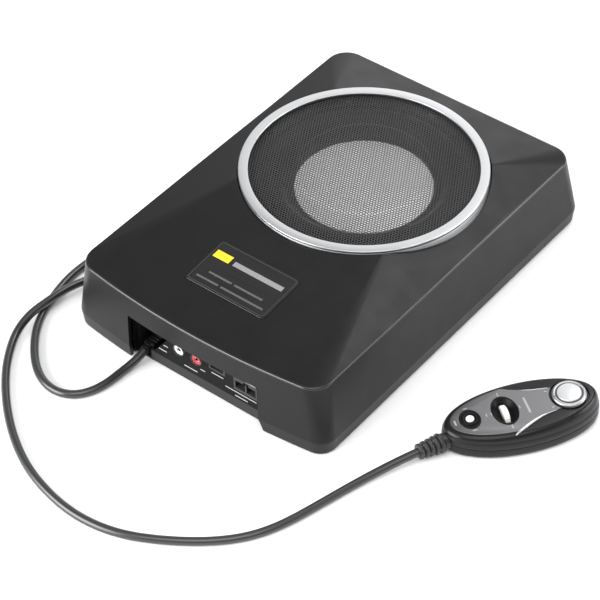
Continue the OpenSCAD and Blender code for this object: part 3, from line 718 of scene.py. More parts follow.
def outline(w, back, front, bow, r):
    """One level of the housing: w is half its width; the points keep their order at every level."""
    big = (w * w + bow * bow) / (2 * bow)
    cy = front - bow + big
    fy = cy - math.sqrt((big - r) ** 2 - (w - r) ** 2)
    a = math.atan2(fy - cy, w - r)
    right = arc_points(w - r, fy, r, a, 0, CORNER_N)
    back_right = arc_points(w - r, back - r, r, 0, math.pi / 2, CORNER_N)
    back_left = arc_points(r - w, back - r, r, math.pi / 2, math.pi, CORNER_N)
    left = arc_points(r - w, fy, r, math.pi, math.pi - a, CORNER_N)

    def between(p, q, n):
        return [(p[0] + (q[0] - p[0]) * i / n, p[1] + (q[1] - p[1]) * i / n) for i in range(1, n)]

    bowed = arc_points(0, cy, big, math.pi - a, 2 * math.pi + a, FRONT_N)[1:-1]
    return (right + between(right[-1], back_right[0], SIDE_N) + back_right
            + between(back_right[-1], back_left[0], SIDE_N) + back_left
            + between(back_left[-1], left[0], SIDE_N) + left + bowed)


def roof_slope(x, y):
    """Height of the roof over the rim at a point by the drum."""
    side_share = min(max((y - QUAD_FRONT[1]) / (QUAD_BACK[1] - QUAD_FRONT[1]), 0), 1)
    s_front = QUAD_RISE / (RIM_W / 2 - QUAD_FRONT[0])
    s_back = QUAD_RISE / (RIM_W / 2 - QUAD_BACK[0])
    side = (s_front + (s_back - s_front) * side_share) * (RIM_W / 2 - abs(x))
    return min(side, FRONT_SLOPE * (y - FRONT_Y), BACK_SLOPE * (RIM_L / 2 - y), QUAD_RISE)


def hole_angles():
    """Angle about the driver of the point of the drum's hole that each outline point runs to."""
    front = math.atan2(QUAD_FRONT[1] - DRIVER.y, QUAD_FRONT[0])
    back = math.atan2(QUAD_BACK[1] - DRIVER.y, QUAD_BACK[0])
    half = math.radians(1.0)
    corners = [spread(mid - half, mid + half, CORNER_N)
               for mid in (front, back, math.pi - back, math.pi - front)]
    out = list(corners[0])
    for last, corner in zip(corners, corners[1:]):
        out += spread(last[-1], corner[0], SIDE_N)[1:-1] + corner
    return out + spread(corners[-1][-1], 2 * math.pi + corners[0][0], FRONT_N)[1:-1]


def level(z, dw, inset=0.0):
    """Ring of the shell's wall at height z, dw inside its drafted face and inset further in."""
    share = min(max((RIM_Z - z) / (RIM_Z - CREASE_Z), 0), 1)
    flare, front_flare = FLARE * share, FRONT_FLARE * share
    bow = FRONT_BOW + (BASE_BOW - FRONT_BOW) * share
    r = RIM_R + (BASE_R - RIM_R) * share - inset * 0.8 - dw * 0.6
    ring = outline(RIM_W / 2 + flare - dw - inset, RIM_L / 2 + flare - dw - inset,
                   -RIM_L / 2 - front_flare + dw + inset, bow, r)
    return [(x, y, z) for x, y in ring]


def roof_ring(radius, drop=0.0):
    """Ring round the drum at that radius, drop below the roof."""
    places = [(DRIVER.x + radius * math.cos(a), DRIVER.y + radius * math.sin(a)) for a in hole_angles()]
    return [(x, y, RIM_Z + roof_slope(x, y) - drop) for x, y in places]


def blended(a, b, share):
    """Ring at that share of the way from ring a to ring b."""
    return [tuple(Vector(p).lerp(Vector(q), share)) for p, q in zip(a, b)]


def shell_rows():
    """Rings of the skin, from the foot up the wall, over the rim to the drum's hole, and back inside."""
    rows = [level(FOOT_H, CREASE_IN), level(CREASE_Z - 0.9, 0.12), level(CREASE_Z, 0.03)]
    rows += [level(z, 0.0) for z in (CREASE_Z + 0.8, 18, 25, 32, 37, 39.5, 43, 47, RIM_Z - FILLET)]
    wall_top, rim, near = rows[-1], level(RIM_Z, 0.0), roof_ring(HOLE_R)
    steps = 6
    for k in range(1, steps + 1):
        row = []
        for a, b, c in zip(wall_top, rim, near):
            a, b, c = Vector(a), Vector(b), Vector(c)
            row.append(tuple(arc_point(a, b, b + (c - b).normalized() * FILLET, k / steps)))
        rows.append(row)
    fillet_top = rows[-1]
    rows += [blended(fillet_top, near, share) for share in (0.06, 0.2, 0.4, 0.6, 0.8, 0.94)]
    under = roof_ring(UNDER_R, SKIN)
    rows += [near, roof_ring(HOLE_R - LIP * 0.7, 0.1), roof_ring(HOLE_R - LIP, LIP),
             roof_ring(HOLE_R + 0.1 - LIP, SKIN), under]
    under_rim = [(x, y, z - 2.6) for x, y, z in level(RIM_Z, 0.0, WALL)]
    rows += [blended(under_rim, under, share) for share in (0.7, 0.4, 0.1)]
    rows.append([(x, y, z - 3.4) for x, y, z in level(RIM_Z, 0.0, WALL)])
    rows += [level(z, 0.0, WALL) for z in (39.5, 37, 25, CREASE_Z)]
    rows.append(level(FOOT_H, CREASE_IN, WALL))
    return rows


def on_front_facet(y):
    height = RIM_Z + (y - FRONT_Y) * FRONT_SLOPE
    return Matrix.Translation((0.5, y, height)) @ Matrix.Rotation(math.atan(FRONT_SLOPE), 4, "X")


def make_shell():
    """The die-cast top shell; the rows of its rim's fillet have a glossier paint, as rubbed edges do."""
    verts, faces = loft(shell_rows(), closed_v=True)
    shell = piece("housing_shell", verts, faces, HOUSING, slot="housing_black", replaces=["top_shell"],
                  body=None)
    shell.data.materials.append(HOUSING_RIM)
    around = len(hole_angles())
    for face in shell.data.polygons[RIM_ROWS[0] * around:RIM_ROWS[1] * around]:
        face.material_index = 1
    before_wall, behind_wall = -160, -134.9
    opening = upright(rounded(RECESS, [0, 0.9, 0.9, 1.2, 0], 5), before_wall, behind_wall)
    badge_bed = prism(box_outline(62.4, 38.4, 3.2, 8), -0.85, 5)
    carve(shell, 32, bare("recess_tool", *opening),
          bare("badge_bed", *badge_bed, place=on_front_facet(BADGE_Y)))
    bevel(shell, 0.28, 2, 42)
    shell.modifiers.new("weighted", "WEIGHTED_NORMAL").keep_sharp = True


def make_hood():
    """Walls of the recess, from the front wall back to the panel; the top one follows the wall's bow."""
    back, front, top_front = -134, -137.4, -140.6
    inner = [(-50.05, 1.6), (-50.05, 37.05), (53.05, 37.05), (53.05, 12), (56.2, 1.6)]
    outer = [(-52, 1.6), (-52, 39), (55.05, 39), (55.05, 12.4), (58.2, 1.6)]
    walls = []
    for i in range(len(inner) - 1):
        corners = [inner[i], inner[i + 1], outer[i + 1], outer[i]]
        walls.append(upright(corners, top_front if i == 1 else front, back))
    join("recess_hood", walls, HOUSING, slot="housing_black")


def make_drum_seat():
    profile = [(69.5, 51.5), (85.5, 51.5), (85.5, 55.2), (83, 55.2), (83, 54), (69.5, 54)]
    lathe("drum_seat", profile, HOUSING, 128, place=AT_DRIVER, slot="housing_black")


make_shell()
make_hood()
make_drum_seat()

# ---- badge ----


def bars(rows, low, high):
    return [prism(rectangle(*row), low, high) for row in rows]


def make_badge():
    """A plain plate with a thin lighter edge, a yellow block, a plain bar and two rows of thin bars."""
    at = on_front_facet(BADGE_Y)
    w, h, r, low, high, edge = 62, 38, 3, -0.8, 0.5, 0.22
    side = box_outline(w, h, r, 8)
    rows = [[(x, y, z) for x, y in side] for z in (low, high - edge)]
    rows.append([(x, y, high) for x, y in box_outline(w - 0.5, h - 0.5, r - 0.2, 8)])
    piece("badge_plate", *capped(rows), BADGE, place=at, slot="badge_black", replaces=["badge"])
    outside, inside = box_outline(59.6, 35.6, 2.6, 8), box_outline(58.8, 34.8, 2.2, 8)
    border = [[(x, y, z) for x, y in ring]
              for ring, z in ((outside, 0.45), (outside, 0.72), (inside, 0.72), (inside, 0.45))]
    verts, faces = loft(border, closed_v=True)
    piece("badge_border", verts, faces, BADGE_EDGE, place=at, slot="badge_black")
    main_print = printed("badge_bar", (0.24, 0.24, 0.245), 0.4)
    small_print = printed("badge_small_bars", (0.085, 0.085, 0.087), 0.4)
    small_rows = [(-21, -3, -7.6, -6.2), (-1, 21, -7.6, -6.2), (-26, -9, -13.6, -12.2),
                  (-7, 26, -13.6, -12.2)]
    for name, mat, rows, top, edge in (
            ("badge_accent", YELLOW, [(-28, -15.5, 4.9, 11)], 0.75, 0.12),
            ("badge_bar", main_print, [(-12.5, 26, 5.2, 8.9)], 0.65, 0.08),
            ("badge_small_bars", small_print, small_rows, 0.6, 0.06)):
        bevel(join(name, bars(rows, 0.45, top), mat, place=at, slot="badge_black"), edge)


make_badge()

# ---- drum: ring, collar, grille ----

def make_drum():
    t = RING_TOP
    ring = [(74.6, t - 1.6), (77.7, t - 1.6), (77.7, t - 4.3), (79.2, t - 4.3), (79.2, t - 1.9),
            (80, t - 1.9), (80, t - 1.2), (81, t - 1.2), (81, t), (74.6, t)]
    radii = [0.3, 0.1, 0.2, 0.2, 0.1, 0.1, 0.1, 0.25, 0.55, 0.45]
    lathe("trim_ring_satin", rounded(ring, radii, 5), RING, 256, place=AT_DRIVER, slot="silver_ring",
          replaces=["trim_ring"], sharp=40)
    collar = [(79.3, 54), (82.4, 54), (81, t - 1.9), (79.3, t - 1.9)]
    lathe("collar_satin", rounded(collar, [0.1, 0.1, 0.3, 0.1], 4), COLLAR, 256, place=AT_DRIVER,
          slot="silver_ring", replaces=["collar"], sharp=40)
    retainer = rectangle(73.4, 77.6, t - 4.3, t - 3.2)
    lathe("grille_retainer_ring", rounded(retainer, 0.25, 3), BASKET, 192, place=AT_DRIVER,
          slot="basket_black", replaces=["grille_retainer"], sharp=40)


def grille_height(r):
    """Middle height of the mesh below the ring's top at radius r: a shallow dome with a pressed circle."""
    step_in, step_out = 43.2, 45.0
    marks = [(0, -0.9), (step_in, -1.12), (step_out, -1.9), (68, -2.2), (73.5, -2.8), (80, -2.8)]
    for (r0, z0), (r1, z1) in zip(marks, marks[1:]):
        if r <= r1:
            t = (r - r0) / (r1 - r0)
            if r0 == step_in:
                t = t * t * (3 - 2 * t)
            return z0 + (z1 - z0) * t
    return marks[-1][1]


def honeycomb(pitch, land, reach):
    """Sheet round the origin made of six-sided holes with land between them, out to reach."""
    hole = (pitch - land) / math.sqrt(3)
    row_step = pitch * math.sqrt(3) / 2
    count = int(reach / row_step) + 2
    cells, verts, faces = {}, [], []
    for j in range(-count, count + 1):
        for i in range(-count - 1, count + 2):
            cx, cy = (i + (j % 2) / 2) * pitch, j * row_step
            if math.hypot(cx, cy) > reach:
                continue
            cells[(i, j)] = range(len(verts), len(verts) + 6)
            for k in range(6):
                a = math.radians(30 + 60 * k)
                x, y = cx + hole * math.cos(a), cy + hole * math.sin(a)
                verts.append((x, y, grille_height(math.hypot(x, y))))
    for (i, j), c in cells.items():
        odd = j % 2
        east = cells.get((i + 1, j))
        north_east = cells.get((i + odd, j + 1))
        north_west = cells.get((i + odd - 1, j + 1))
        if east:
            faces.append((c[5], east[3], east[2], c[0]))
        if north_east:
            faces.append((c[0], north_east[4], north_east[3], c[1]))
        if north_west:
            faces.append((c[1], north_west[5], north_west[4], c[2]))
        if east and north_east:
            faces.append((c[0], east[2], north_east[4]))
        if north_east and north_west:
            faces.append((c[1], north_east[3], north_west[5]))
    return verts, faces


def make_grille():
    """Perforated sheet, cut off under the edge of the ring."""
    at_top = Matrix.Translation(DRIVER + Vector((0, 0, RING_TOP)))
    mesh = piece("grille_mesh_sheet", *honeycomb(2.0, 0.42, 77.4), MESH, slot="mesh_black",
                 replaces=["grille_mesh"], place=at_top, sharp=60)
    sheet = mesh.modifiers.new("sheet", "SOLIDIFY")
    sheet.thickness = 0.3 * MM
    sheet.offset = 0
    sheet.use_even_offset = False


make_drum()
make_grille()

# ---- driver ----


def sheet_profile(line, half):
    """Closed profile of a thin sheet that follows a line of (radius, height) points."""
    top, bottom = [], []
    for i, (r, z) in enumerate(line):
        a, b = line[max(i - 1, 0)], line[min(i + 1, len(line) - 1)]
        d = Vector((b[0] - a[0], b[1] - a[1])).normalized()
        top.append((r - d.y * half, z + d.x * half))
        bottom.append((r + d.y * half, z - d.x * half))
    return bottom + top[::-1]


def follow_cone(sheet):
    """Takes the sheet off any body and bakes its placing into its mesh."""
    sheet.parent = None
    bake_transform(sheet)


def make_spider():
    """Corrugated disc, dished by a millimetre, its inner edge lower than its outer one."""
    inner, outer = 26.6, 27.77
    waves = [(21.5 + 0.65 * i, inner + 0.1 + 0.05 * i + 0.3 * math.sin(i * math.pi / 2)) for i in range(21)]
    line = [(19.15, inner), (20.5, inner)] + waves + [(35.2, outer), (37.6, outer)]
    spider = lathe("spider_disc", sheet_profile(line, 0.25), CLOTH, 128, place=AT_DRIVER,
                   slot="spider_cloth", replaces=["spider"], sharp=60, body=None)
    follow_cone(spider)


def make_roll():
    """Half roll between the cone and the basket."""
    inner, width, low, rise, crown, n = 50.5, 16.0, 48.7, 8.5, 5.0, 28
    shares = [i / n for i in range(n + 1)]
    middle = [(inner + width * t, low + rise * t + crown * math.sin(math.pi * t)) for t in shares]
    line = [(46.7, 47.4), (49.4, 48.3)] + middle + [(67.2, 57.45), (71, 57.45)]
    roll = lathe("surround_roll", sheet_profile(line, 0.38), ROLL, 192, place=AT_DRIVER,
                 slot="rubber_black", replaces=["surround"], sharp=60, body=None)
    follow_cone(roll)


def make_cone():
    """Flat silver plate with two faint ribs, on its paper cone."""
    cap = [(0, 46.5), (43, 46.5), (43, 46.25), (45.05, 46.25), (45.2, 46.4), (45.2, 47.2), (45.05, 47.5),
           (44.7, 47.6), (0, 47.6)]
    lathe("cone_cap_disc", cap, SILVER_CONE, 192, place=AT_DRIVER, closed=False, slot="cone_silver",
          replaces=["cone_cap"], body=CONE, sharp=25)
    turn = Matrix.Rotation(math.radians(6.3), 4, "Z")
    ribs = []
    for y in (4.9, 8.3):
        bar = [(u - 19.5, v + y - DRIVER.y) for u, v in box_outline(23, 0.9, 0.4, 3)]
        verts, faces = prism(bar, 47.5, 47.9)
        ribs.append(([tuple(turn @ Vector(v)) for v in verts], faces))
    join("cone_cap_ribs", ribs, SILVER_CONE, place=AT_DRIVER, slot="cone_silver", body=CONE)
    cone = [(19.05, 35.2), (30, 39.2), (50.5, 47.2), (50.5, 48.2), (47, 46.9), (30, 40.4), (19.05, 36.4)]
    lathe("cone_body", cone, PULP, 192, place=AT_DRIVER, slot="cone_paper", replaces=["cone"], body=CONE,
          sharp=40)


def make_clamp():
    lathe("surround_clamp_ring", rounded(rectangle(67.4, 71, 57.9, 59.6), 0.5, 4), BASKET, 192,
          place=AT_DRIVER, slot="basket_black", replaces=["surround_clamp"], sharp=40)


make_spider()
make_roll()
make_cone()
make_clamp()

# ---- connectors ----


def make_jack(x, mat, node, slot, barrels):
    """One RCA jack: its block behind the panel, flange, coloured sleeve and metal barrel."""
    y, front = PANEL_Y, RCA_FRONT
    place = Matrix.Translation((x, 0, RCA_Z)) @ Matrix.Rotation(math.radians(-90), 4, "X")
    sleeve = [(1.75, -126), (1.75, front + 0.9), (2.0, front + 0.6), (3.3, front + 0.6), (3.7, front + 0.75),
              (3.7, y - 0.65), (4.05, y - 0.65), (4.05, y + 1.6), (3.4, y + 1.6), (3.4, -126)]
    lathe(node + "_sleeve", sleeve, mat, 64, place=place, sharp=40, slot=slot)
    flange = [(4.17, y - 0.6), (5.3, y - 0.6), (5.6, y - 0.35), (5.6, y - 0.02), (4.17, y - 0.02)]
    lathe(node + "_flange", flange, PANEL, 64, place=place, sharp=40, slot="panel_black")
    floor = box_mm(node)[0].z
    block = join(node + "_block", [upright(rectangle(x - 4.9, x + 4.9, floor, 36), y + 1.5, -124)], mat,
                 slot=slot, replaces=[node], body=None)
    bore = [(x + u, RCA_Z + v) for u, v in oval(3.35, 3.35, 32)]
    cut(block, bare("bore", *upright(bore, y - 3, -126)))
    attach(block, UNIT)
    barrel = [(3.76, y - 0.7), (3.76, front + 0.2), (3.9, front), (4.05, front), (4.15, front + 0.12),
              (4.15, y - 0.7)]
    lathe(node + "_barrel", barrel, BARREL, 64, place=place, sharp=40, slot="nickel", replaces=barrels)


def make_panel_marks():
    """Plain bars where a panel carries its printing."""
    rows = [(-31, -24.6, 15.2, 16.0), (-27, -23.4, 20.1, 20.8), (-10.5, 0, 12.9, 13.7),
            (2.6, 6.4, 17.2, 17.9), (11.6, 21, 20.2, 20.9), (22.4, 46.8, 15.0, 15.7),
            (30, 39.7, 11.6, 12.3), (24, 46.5, 28.3, 28.8), (9.5, 22.5, 32.2, 32.8)]
    parts = [upright(rectangle(*row), PANEL_Y - 0.12, PANEL_Y + 0.02) for row in rows]
    join("panel_marks", parts, LIGHT_PRINT, slot="plastic_white")


make_jack(RCA_X[0], WHITE, "rca_jack_white", "plastic_white", ["rca_barrels"])
make_jack(RCA_X[1], RED, "rca_jack_red", "plastic_red", ())
make_panel_marks()

# ---- remote ----

AROUND = 128
BUTTON_HOLE = (6.45, 6.45)
SCOOP_HOLE = (7.6, 11)
KNOB_WELL = (12.3, 12.3)
SHOULDER_Z, SHOULDER_IN, TOP_IN = 12.9, 0.95, 4.9
FACE_EDGE = [(-46.4, 0), (-45.6, 3.6), (-42, 8.6), (-34, 13.4), (-22, 17.2), (-9.5, 18.4), (-3, 15.8),
             (6, 12.2), (13, 10.3), (21, 9.2), (27, 9)]
LEFT_TRIM = [(-7, 17), (0.3, 14), (9.1, 11.5), (15.6, 10.2), (20, 9.6)]
RIGHT_TRIM = [(-10.8, -20), (-4.7, -16.7), (3.7, -12.8), (11.5, -10.4), (19.8, -9.2)]


def remote_level(z, inset_a, inset_b, tilt=0.0):
    """Oval ring of the remote at height z, inset along and across, and tilted as its top is."""
    ring = oval(REMOTE_A - inset_a, REMOTE_B - inset_b, AROUND)
    return [(x, y, z + x * math.tan(tilt)) for x, y in ring]


def remote_levels(*marks):
    return [remote_level(z, inset, inset) for z, inset in marks]


def hole_tool(name, size, s, low, high, count=64):
    """Oval cutting tool through the remote's top, at distance s along it."""
    return bare(name, *prism(oval(*size, count), low, high), place=on_face(s))


def make_remote_base():
    rows = remote_levels((PAD_H, 6), (PAD_H, 2.4), (1.0, 1.4), (1.5, 0.7), (2.4, 0.2), (3.4, 0.0),
                         (SPLIT_Z - 0.5, 0.0), (SPLIT_Z - 0.25, 0.08), (SPLIT_Z - 0.15, 0.4),
                         (SPLIT_Z, 0.45), (SPLIT_Z, 1.7), (3.0, 1.7), (2.3, 2.6))
    piece("remote_base_shell", *capped(rows), REMOTE_GLOSS, place=IN_REMOTE, slot="remote_black",
          replaces=["remote_base"], sharp=40)


def make_remote_cover():
    """Domed cover with a flat tilted top, hollow inside, and holes for the controls."""
    rows = remote_levels((SPLIT_Z, 1.7), (SPLIT_Z, 0.45), (SPLIT_Z + 0.15, 0.4), (SPLIT_Z + 0.25, 0.08),
                         (SPLIT_Z + 0.5, 0), (11.4, 0.25), (12.3, 0.55), (SHOULDER_Z, SHOULDER_IN))
    steps = 12
    for i in range(1, steps + 1):
        turn = i / steps * math.pi / 2
        inset = SHOULDER_IN + (TOP_IN - SHOULDER_IN) * (1 - math.cos(turn))
        low = remote_level(SHOULDER_Z, inset, inset)
        high = remote_level(FACE_Z, inset, inset, FACE_TILT)
        rows.append([(p[0], p[1], p[2] + (q[2] - p[2]) * math.sin(turn)) for p, q in zip(low, high)])
    rows += [remote_level(FACE_Z, 9, 9, FACE_TILT), remote_level(FACE_Z, 16, 14, FACE_TILT)]
    ceiling = FACE_Z - 1.8
    inner = [remote_level(ceiling, 16, 14, FACE_TILT), remote_level(ceiling, 7, 7, FACE_TILT)]
    inner += remote_levels((13.5, 2.8), (12, 2.2), (SPLIT_Z + 1, 1.75))
    verts, faces = loft(rows, cap_end=True)
    base = len(verts)
    inner_verts, inner_faces = loft(inner, cap_start=True)
    faces += [tuple(i + base for i in f) for f in inner_faces]
    last = base + (len(inner) - 1) * AROUND
    faces += [(last + i, last + (i + 1) % AROUND, (i + 1) % AROUND, i) for i in range(AROUND)]
    cover = piece("remote_cover_shell", verts + inner_verts, faces, REMOTE_GLOSS, place=IN_REMOTE,
                  slot="remote_black", replaces=["remote_cover"], sharp=35, body=None)
    carve(cover, 35, hole_tool("button_hole", BUTTON_HOLE, BUTTON_S, -6, 4),
          hole_tool("knob_hole", (3.6, 3.6), KNOB_S, -6, 4),
          hole_tool("knob_well", KNOB_WELL, KNOB_S, -1.2, 4, 96),
          hole_tool("scoop_hole", SCOOP_HOLE, WHEEL_S, -6, 4))


def face_outline():
    """Lacquered face: wide round the wheel and narrow where it runs into the knob's well."""
    marks = [Vector((x, y, 0)) for x, y in FACE_EDGE]
    marks = [Vector((marks[1].x, -marks[1].y, 0))] + marks + [marks[-1]]
    half = [spline(*marks[i:i + 4], k / 8) for i in range(len(marks) - 3) for k in range(8)] + [marks[-1]]
    return [(q.x, q.y) for q in half] + [(q.x, -q.y) for q in half[:0:-1]]


def make_face():
    """Lacquered plate, kept inside the cover's flat top."""
    edge = []
    for x, y in face_outline():
        reach = max(math.hypot(x / (REMOTE_A - TOP_IN), y / (REMOTE_B - TOP_IN)), 1)
        edge.append((x / reach, y / reach))
    rows = [[(x, y, z) for x, y in edge] for z in (0.02, 0.4)]
    rows.append([(x * 0.988, y * 0.98, 0.6) for x, y in edge])
    face = piece("remote_face_plate", *capped(rows), FACE, place=ON_FACE, slot="face_grey",
                 replaces=["remote_face"], sharp=30, body=None)
    carve(face, 30, hole_tool("face_button_hole", BUTTON_HOLE, BUTTON_S, -2, 3),
          hole_tool("face_scoop_hole", SCOOP_HOLE, WHEEL_S, -2, 3),
          hole_tool("face_knob_well", KNOB_WELL, KNOB_S, -2, 3, 96))


def cover_drop(s, n):
    """How far the cover's skin lies under the top plane: nothing on the flat, more on the shoulder."""
    low, high = 0.0, 20.0
    for _ in range(30):
        mid = (low + high) / 2
        inside = math.hypot(s / (REMOTE_A - mid), n / (REMOTE_B - mid)) < 1
        low, high = (mid, high) if inside else (low, mid)
    turn = math.acos(min(1, max(0, 1 - (low - SHOULDER_IN) / (TOP_IN - SHOULDER_IN))))
    return (FACE_Z + s * math.tan(FACE_TILT) - SHOULDER_Z) * (1 - math.sin(turn))


def make_trims():
    """Two bright creases that run from the wide part of the face to the knob, one each side."""
    for name, marks, first, last in (("face_trim_left", LEFT_TRIM, 0.3, 0.3),
                                     ("face_trim_right", RIGHT_TRIM, 1.25, 0.45)):
        path = smooth_path([(s, n, 0) for s, n in marks], 8)
        for q in path:
            q.z = 0.3 - cover_drop(q.x, q.y)
        count = len(path) - 1
        ends = [math.sin(math.pi * min(max(i / count, 0.04), 0.96)) ** 0.4 for i in range(count + 1)]
        rows = tube_rows(path, lambda i: (first + (last - first) * i / count) * ends[i], 16)
        rows = [[(x, y, q.z + (z - q.z) * 0.6) for x, y, z in row] for row, q in zip(rows, path)]
        piece(name, *capped(rows), FACE_TRIM, place=ON_FACE, slot="face_grey", sharp=60)


def make_knob():
    """Low knob in its well: a wide shoulder, a groove whose floor carries a thin dark ring of painted shade,
    and a bright disc.
    """
    at = on_face(KNOB_S)
    side = [(0, -0.9), (10.3, -0.9), (10.6, -0.6), (10.7, -0.1), (10.7, 0.9), (10.55, 1.4), (10.15, 1.8),
            (9.6, 1.98), (8.8, 2.0), (8.6, 1.85), (8.5, 1.45), (0, 1.45)]
    lathe("volume_knob_turned", side, KNOB_SILVER, 128, place=at, closed=False, slot="knob_silver",
          replaces=["volume_knob"], body=KNOB, sharp=50)
    # Thin dark ring lying on the groove's floor: painted shade.
    lathe("volume_knob_painted_groove_shade", rectangle(7.3, 8.48, 1.46, 1.5), KNOB_GROOVE_SHADE, 96, place=at,
          slot="knob_silver", body=KNOB)
    disc = [(0, 1.47), (7.42, 1.47), (7.45, 2.3), (7.3, 2.52), (7.0, 2.6), (0, 2.6)]
    lathe("volume_knob_disc", disc, KNOB_DISC, 128, place=at, closed=False, slot="knob_silver", body=KNOB,
          sharp=50)
    mark = prism([(u - 9.4, v) for u, v in box_outline(1.1, 0.5, 0.24, 4)], 1.85, 2.06)
    join("volume_knob_mark", [mark], SOCKET, place=at, slot="knob_silver", body=KNOB)


def make_wheel():
    """Thumb wheel with moulded grip teeth round its edge."""
    place = IN_REMOTE @ Matrix.Translation((WHEEL_S, 0, WHEEL_Z))
    place = place @ Matrix.Rotation(math.radians(90), 4, "Y")
    teeth, per_tooth, dent = 30, 8, 0.28
    side = [(1.7, 5.2, 0), (1.7, 7.2, 0), (1.5, 7.65, 0.5), (1.2, WHEEL_R, 1)]
    rows = []
    for z, r, grip in [(-z, r, grip) for z, r, grip in side] + side[::-1]:
        row = []
        for i in range(teeth * per_tooth):
            a = 2 * math.pi * i / (teeth * per_tooth)
            at_a = r - dent * grip * (0.5 - 0.5 * math.cos(teeth * a)) ** 2
            row.append((at_a * math.cos(a), at_a * math.sin(a), z))
        rows.append(row)
    axle = prism(oval(1.5, 1.5, 32), -4.6, 4.6)
    join("crossover_wheel_toothed", [capped(rows), axle], WHEEL_WHITE, place=place, slot="wheel_white",
         replaces=["crossover_wheel"], body=WHEEL, sharp=35)


def make_scoop():
    """Dished surround of the wheel, open along the wheel's slot, and the two ears of its axle."""
    at = on_face(WHEEL_S)
    dished = [(1.04, 0.85), (1.0, 1.0), (0.96, 0.9), (0.92, 0.55), (0.86, -0.4), (0.74, -1.7), (0.58, -2.7),
              (0.4, -3.3), (0.2, -3.5)]
    rows = [[(x, y, z) for x, y in oval(7.9 * share, 11.3 * share)] for share, z in dished]
    under = [(0.2, -5.0), (0.9, -5.0), (1.0, -4.6), (1.0, 0.3)]
    rows += [[(x, y, z) for x, y in oval(7.4 * share, 10.8 * share)] for share, z in under]
    verts, faces = loft(rows, closed_v=True)
    dish = piece("wheel_scoop", verts, faces, BLACK_GLOSS, place=at, slot="remote_black",
                 replaces=["wheel_cradle"], sharp=40, body=None)
    carve(dish, 35, bare("slot_tool", *prism(box_outline(4.1, 16.6, 1.0, 4), -20, 20), place=at))
    ears = []
    for x in (WHEEL_S - 3.5, WHEEL_S + 3.5):
        levels = [[(x - 1, y, z), (x + 1, y, z), (x + 1, -y, z), (x - 1, -y, z)]
                  for y, z in ((4.5, 5.4), (4.5, 13.7))]
        ears.append(capped(levels))
    join("wheel_ears", ears, BLACK_GLOSS, place=IN_REMOTE, slot="remote_black")


def make_bezel(at):
    levels = [(5.42, 5.42, -1.6), (6.4, 6.4, -1.6), (6.4, 6.4, 0.65), (6.5, 7.7, 0.65), (6.6, 7.8, 0.85),
              (6.4, 7.5, 1.12), (6.0, 6.8, 1.2), (5.55, 5.7, 1.12), (5.42, 5.42, 0.9)]
    verts, faces = loft([[(x, y, z) for x, y in oval(a, b)] for a, b, z in levels], closed_v=True)
    piece("button_bezel_ring", verts, faces, BLACK_GLOSS, place=at, slot="remote_black",
          replaces=["button_bezel"], sharp=40)


def make_button():
    """Round button in its bezel, dished round a milky light window."""
    at = on_face(BUTTON_S)
    make_bezel(at)
    cap = [(0, -2.4), (5.2, -2.4), (5.3, -2.2), (5.3, 1.0), (5.15, 1.35), (4.8, 1.6), (4.2, 1.62),
           (3.1, 1.25), (2.7, 1.05), (2.6, 1.0), (0, 1.0)]
    lathe("phase_button_cap", cap, BLACK_GLOSS, 96, place=at, closed=False, slot="remote_black",
          replaces=["phase_button"], body=BUTTON, sharp=40)
    stem = prism(oval(2, 2, 32), -6.2, -2.3)
    join("phase_button_stem", [stem], BLACK_GLOSS, place=at, slot="remote_black", body=BUTTON)
    lens = [(0, 1.0), (2.55, 1.0), (2.55, 1.45), (2.4, 1.7), (2.0, 1.86), (1.2, 1.93), (0, 1.95)]
    lathe("button_lens_dome", lens, LENS, 64, place=at, closed=False, slot="lens_white",
          replaces=["button_lens"], body=BUTTON, sharp=50)


def face_ticks():
    """Place along and across the face, length, width and turn in degrees of each printed tick."""
    round_knob = 14.4
    ticks = []
    for turn in (-28, 28):
        a = math.radians(180 + turn)
        ticks.append((KNOB_S + round_knob * math.cos(a), round_knob * math.sin(a), 1.8, 0.6, turn))
    ticks += [(WHEEL_S, n, 0.7, 3.0, 0) for n in (13.8, -13.8)]
    ticks += [(-1.2, 0, 2.2, 0.6, 90), (-19.4, 0, 2.2, 0.6, 90), (-22.4, 0, 2.6, 0.7, 90)]
    ticks += [(BUTTON_S, n, 2.8, 0.7, 0) for n in (9.2, -9.2)]
    return ticks + [(-42.2, 0, 4.2, 1.0, 90), (3.4, 0, 1.3, 13, 0)]


def make_face_marks():
    """Small plain ticks round the controls, in place of printing."""
    parts = []
    for s, n, length, width, turn in face_ticks():
        at = Matrix.Translation((s, n, 0)) @ Matrix.Rotation(math.radians(turn), 4, "Z")
        verts, faces = prism(box_outline(length, width, width * 0.45, 3), 0.55, 0.66)
        parts.append(([tuple(at @ Vector(v)) for v in verts], faces))
    join("face_marks", parts, LIGHT_PRINT, place=ON_FACE, slot="face_grey")


make_remote_base()
make_remote_cover()
make_face()
make_trims()
make_knob()
make_wheel()
make_scoop()
make_button()
make_face_marks()

# ---- CAD nodes that stay as they are ----

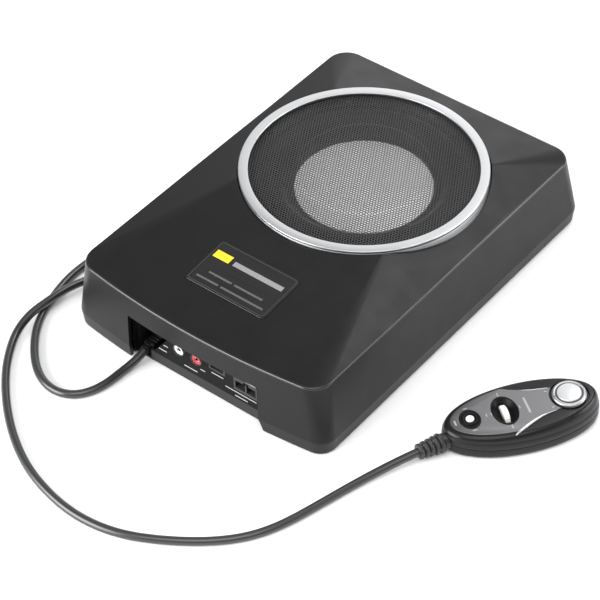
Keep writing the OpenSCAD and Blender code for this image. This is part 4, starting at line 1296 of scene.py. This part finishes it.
KEPT = {
    "base_pan": (PAN, 0.25), "rubber_feet": (RUBBER, 0.2), "base_screws": (SCREW, 0.08),
    "basket": (BASKET, 0.0), "basket_gasket": (RUBBER, 0.0), "driver_screws": (SCREW, 0.1),
    "voice_coil_former": (KAPTON, 0.0), "voice_coil_winding": (COPPER, 0.0), "top_plate": (STEEL, 0.2),
    "ring_magnet": (FERRITE, 0.4), "yoke": (STEEL, 0.3), "driver_terminals": (RED, 0.2),
    "speaker_leads": (CORD, 0.0), "amp_board": (BOARD, 0.0), "board_standoffs": (GOLD, 0.1),
    "heat_sink": (ALU, 0.15), "power_transistors": (EPOXY, 0.1), "toroid_choke": (COPPER, 0.3),
    "capacitors": (SLEEVE, 0.3), "fuse": (FUSE_RED, 0.2), "pocket_liner": (LINER, 0.2),
    "connector_panel": (PANEL, 0.15), "panel_screws": (STEEL, 0.1), "rca_contacts": (NICKEL, 0.1),
    "input_socket": (SOCKET, 0.2), "power_socket": (SOCKET, 0.25), "socket_pins": (GOLD, 0.08),
    "remote_socket": (PANEL, 0.2), "remote_pads": (RUBBER, 0.1), "remote_screws": (SCREW, 0.05),
    "remote_board": (BOARD, 0.0), "volume_pot": (SOCKET, 0.2), "volume_shaft": (NICKEL, 0.1),
    "push_switch": (EPOXY, 0.1),
}


def finish_kept_nodes():
    for node, (mat, edge) in KEPT.items():
        finish_node(node, mat, edge)


finish_kept_nodes()

# ---- stage and light ----


AIM = Vector((0, 0, 0.04))
LIGHTS = [
    ("key_top", (0.54, -0.63, 1.6), 0.75, 2.9),
    ("front_left", (-0.72, -1.48, 0.53), 0.8, 9.5),
    ("back_right", (1.34, 0.9, 0.45), 0.6, 5.0),
    ("back_panel", (-0.67, 0.95, 0.63), 0.44, 1.05),
    ("back_low", (-0.42, 0.95, 0.4), 0.2, 1.4),
    ("roof_right", (0.05, 0.72, 1.07), 0.3, 5.2),
]


def make_floor():
    """Plain pale floor, in metres."""
    half = 6.0
    mesh = bpy.data.meshes.new("floor")
    mesh.from_pydata([(x, y, 0) for x, y in rectangle(-half, half, -half, half)], [], [(0, 1, 2, 3)])
    m = Nodes("floor_paper", (0.95, 0.95, 0.95), 0.9, specular=0.0)
    m.tint(m.noise(3, 2), 0.995, 1.0)
    mesh.materials.append(m.mat)
    add_object("floor", mesh)


def softbox(name, place, radius, radiance):
    """Round soft light aimed at the object, in metres; radiance is the brightness of its face."""
    data = bpy.data.lights.new(name, "AREA")
    data.shape = "DISK"
    data.size = 2 * radius
    data.energy = radiance * math.pi * math.pi * radius**2
    light = add_object(name, data)
    light.location = place
    light.rotation_mode = "QUATERNION"
    light.rotation_quaternion = (AIM - Vector(place)).to_track_quat("-Z", "Y")


def make_lights():
    world = bpy.data.worlds.new("studio")
    world.use_nodes = True
    background = world.node_tree.nodes["Background"]
    background.inputs["Color"].default_value = (0.98, 0.99, 1.0, 1)
    background.inputs["Strength"].default_value = 0.42
    bpy.context.scene.world = world
    for light in LIGHTS:
        softbox(*light)
    bpy.context.scene.view_settings.view_transform = "Standard"
    bpy.context.scene.view_settings.look = "None"


make_floor()
make_lights()
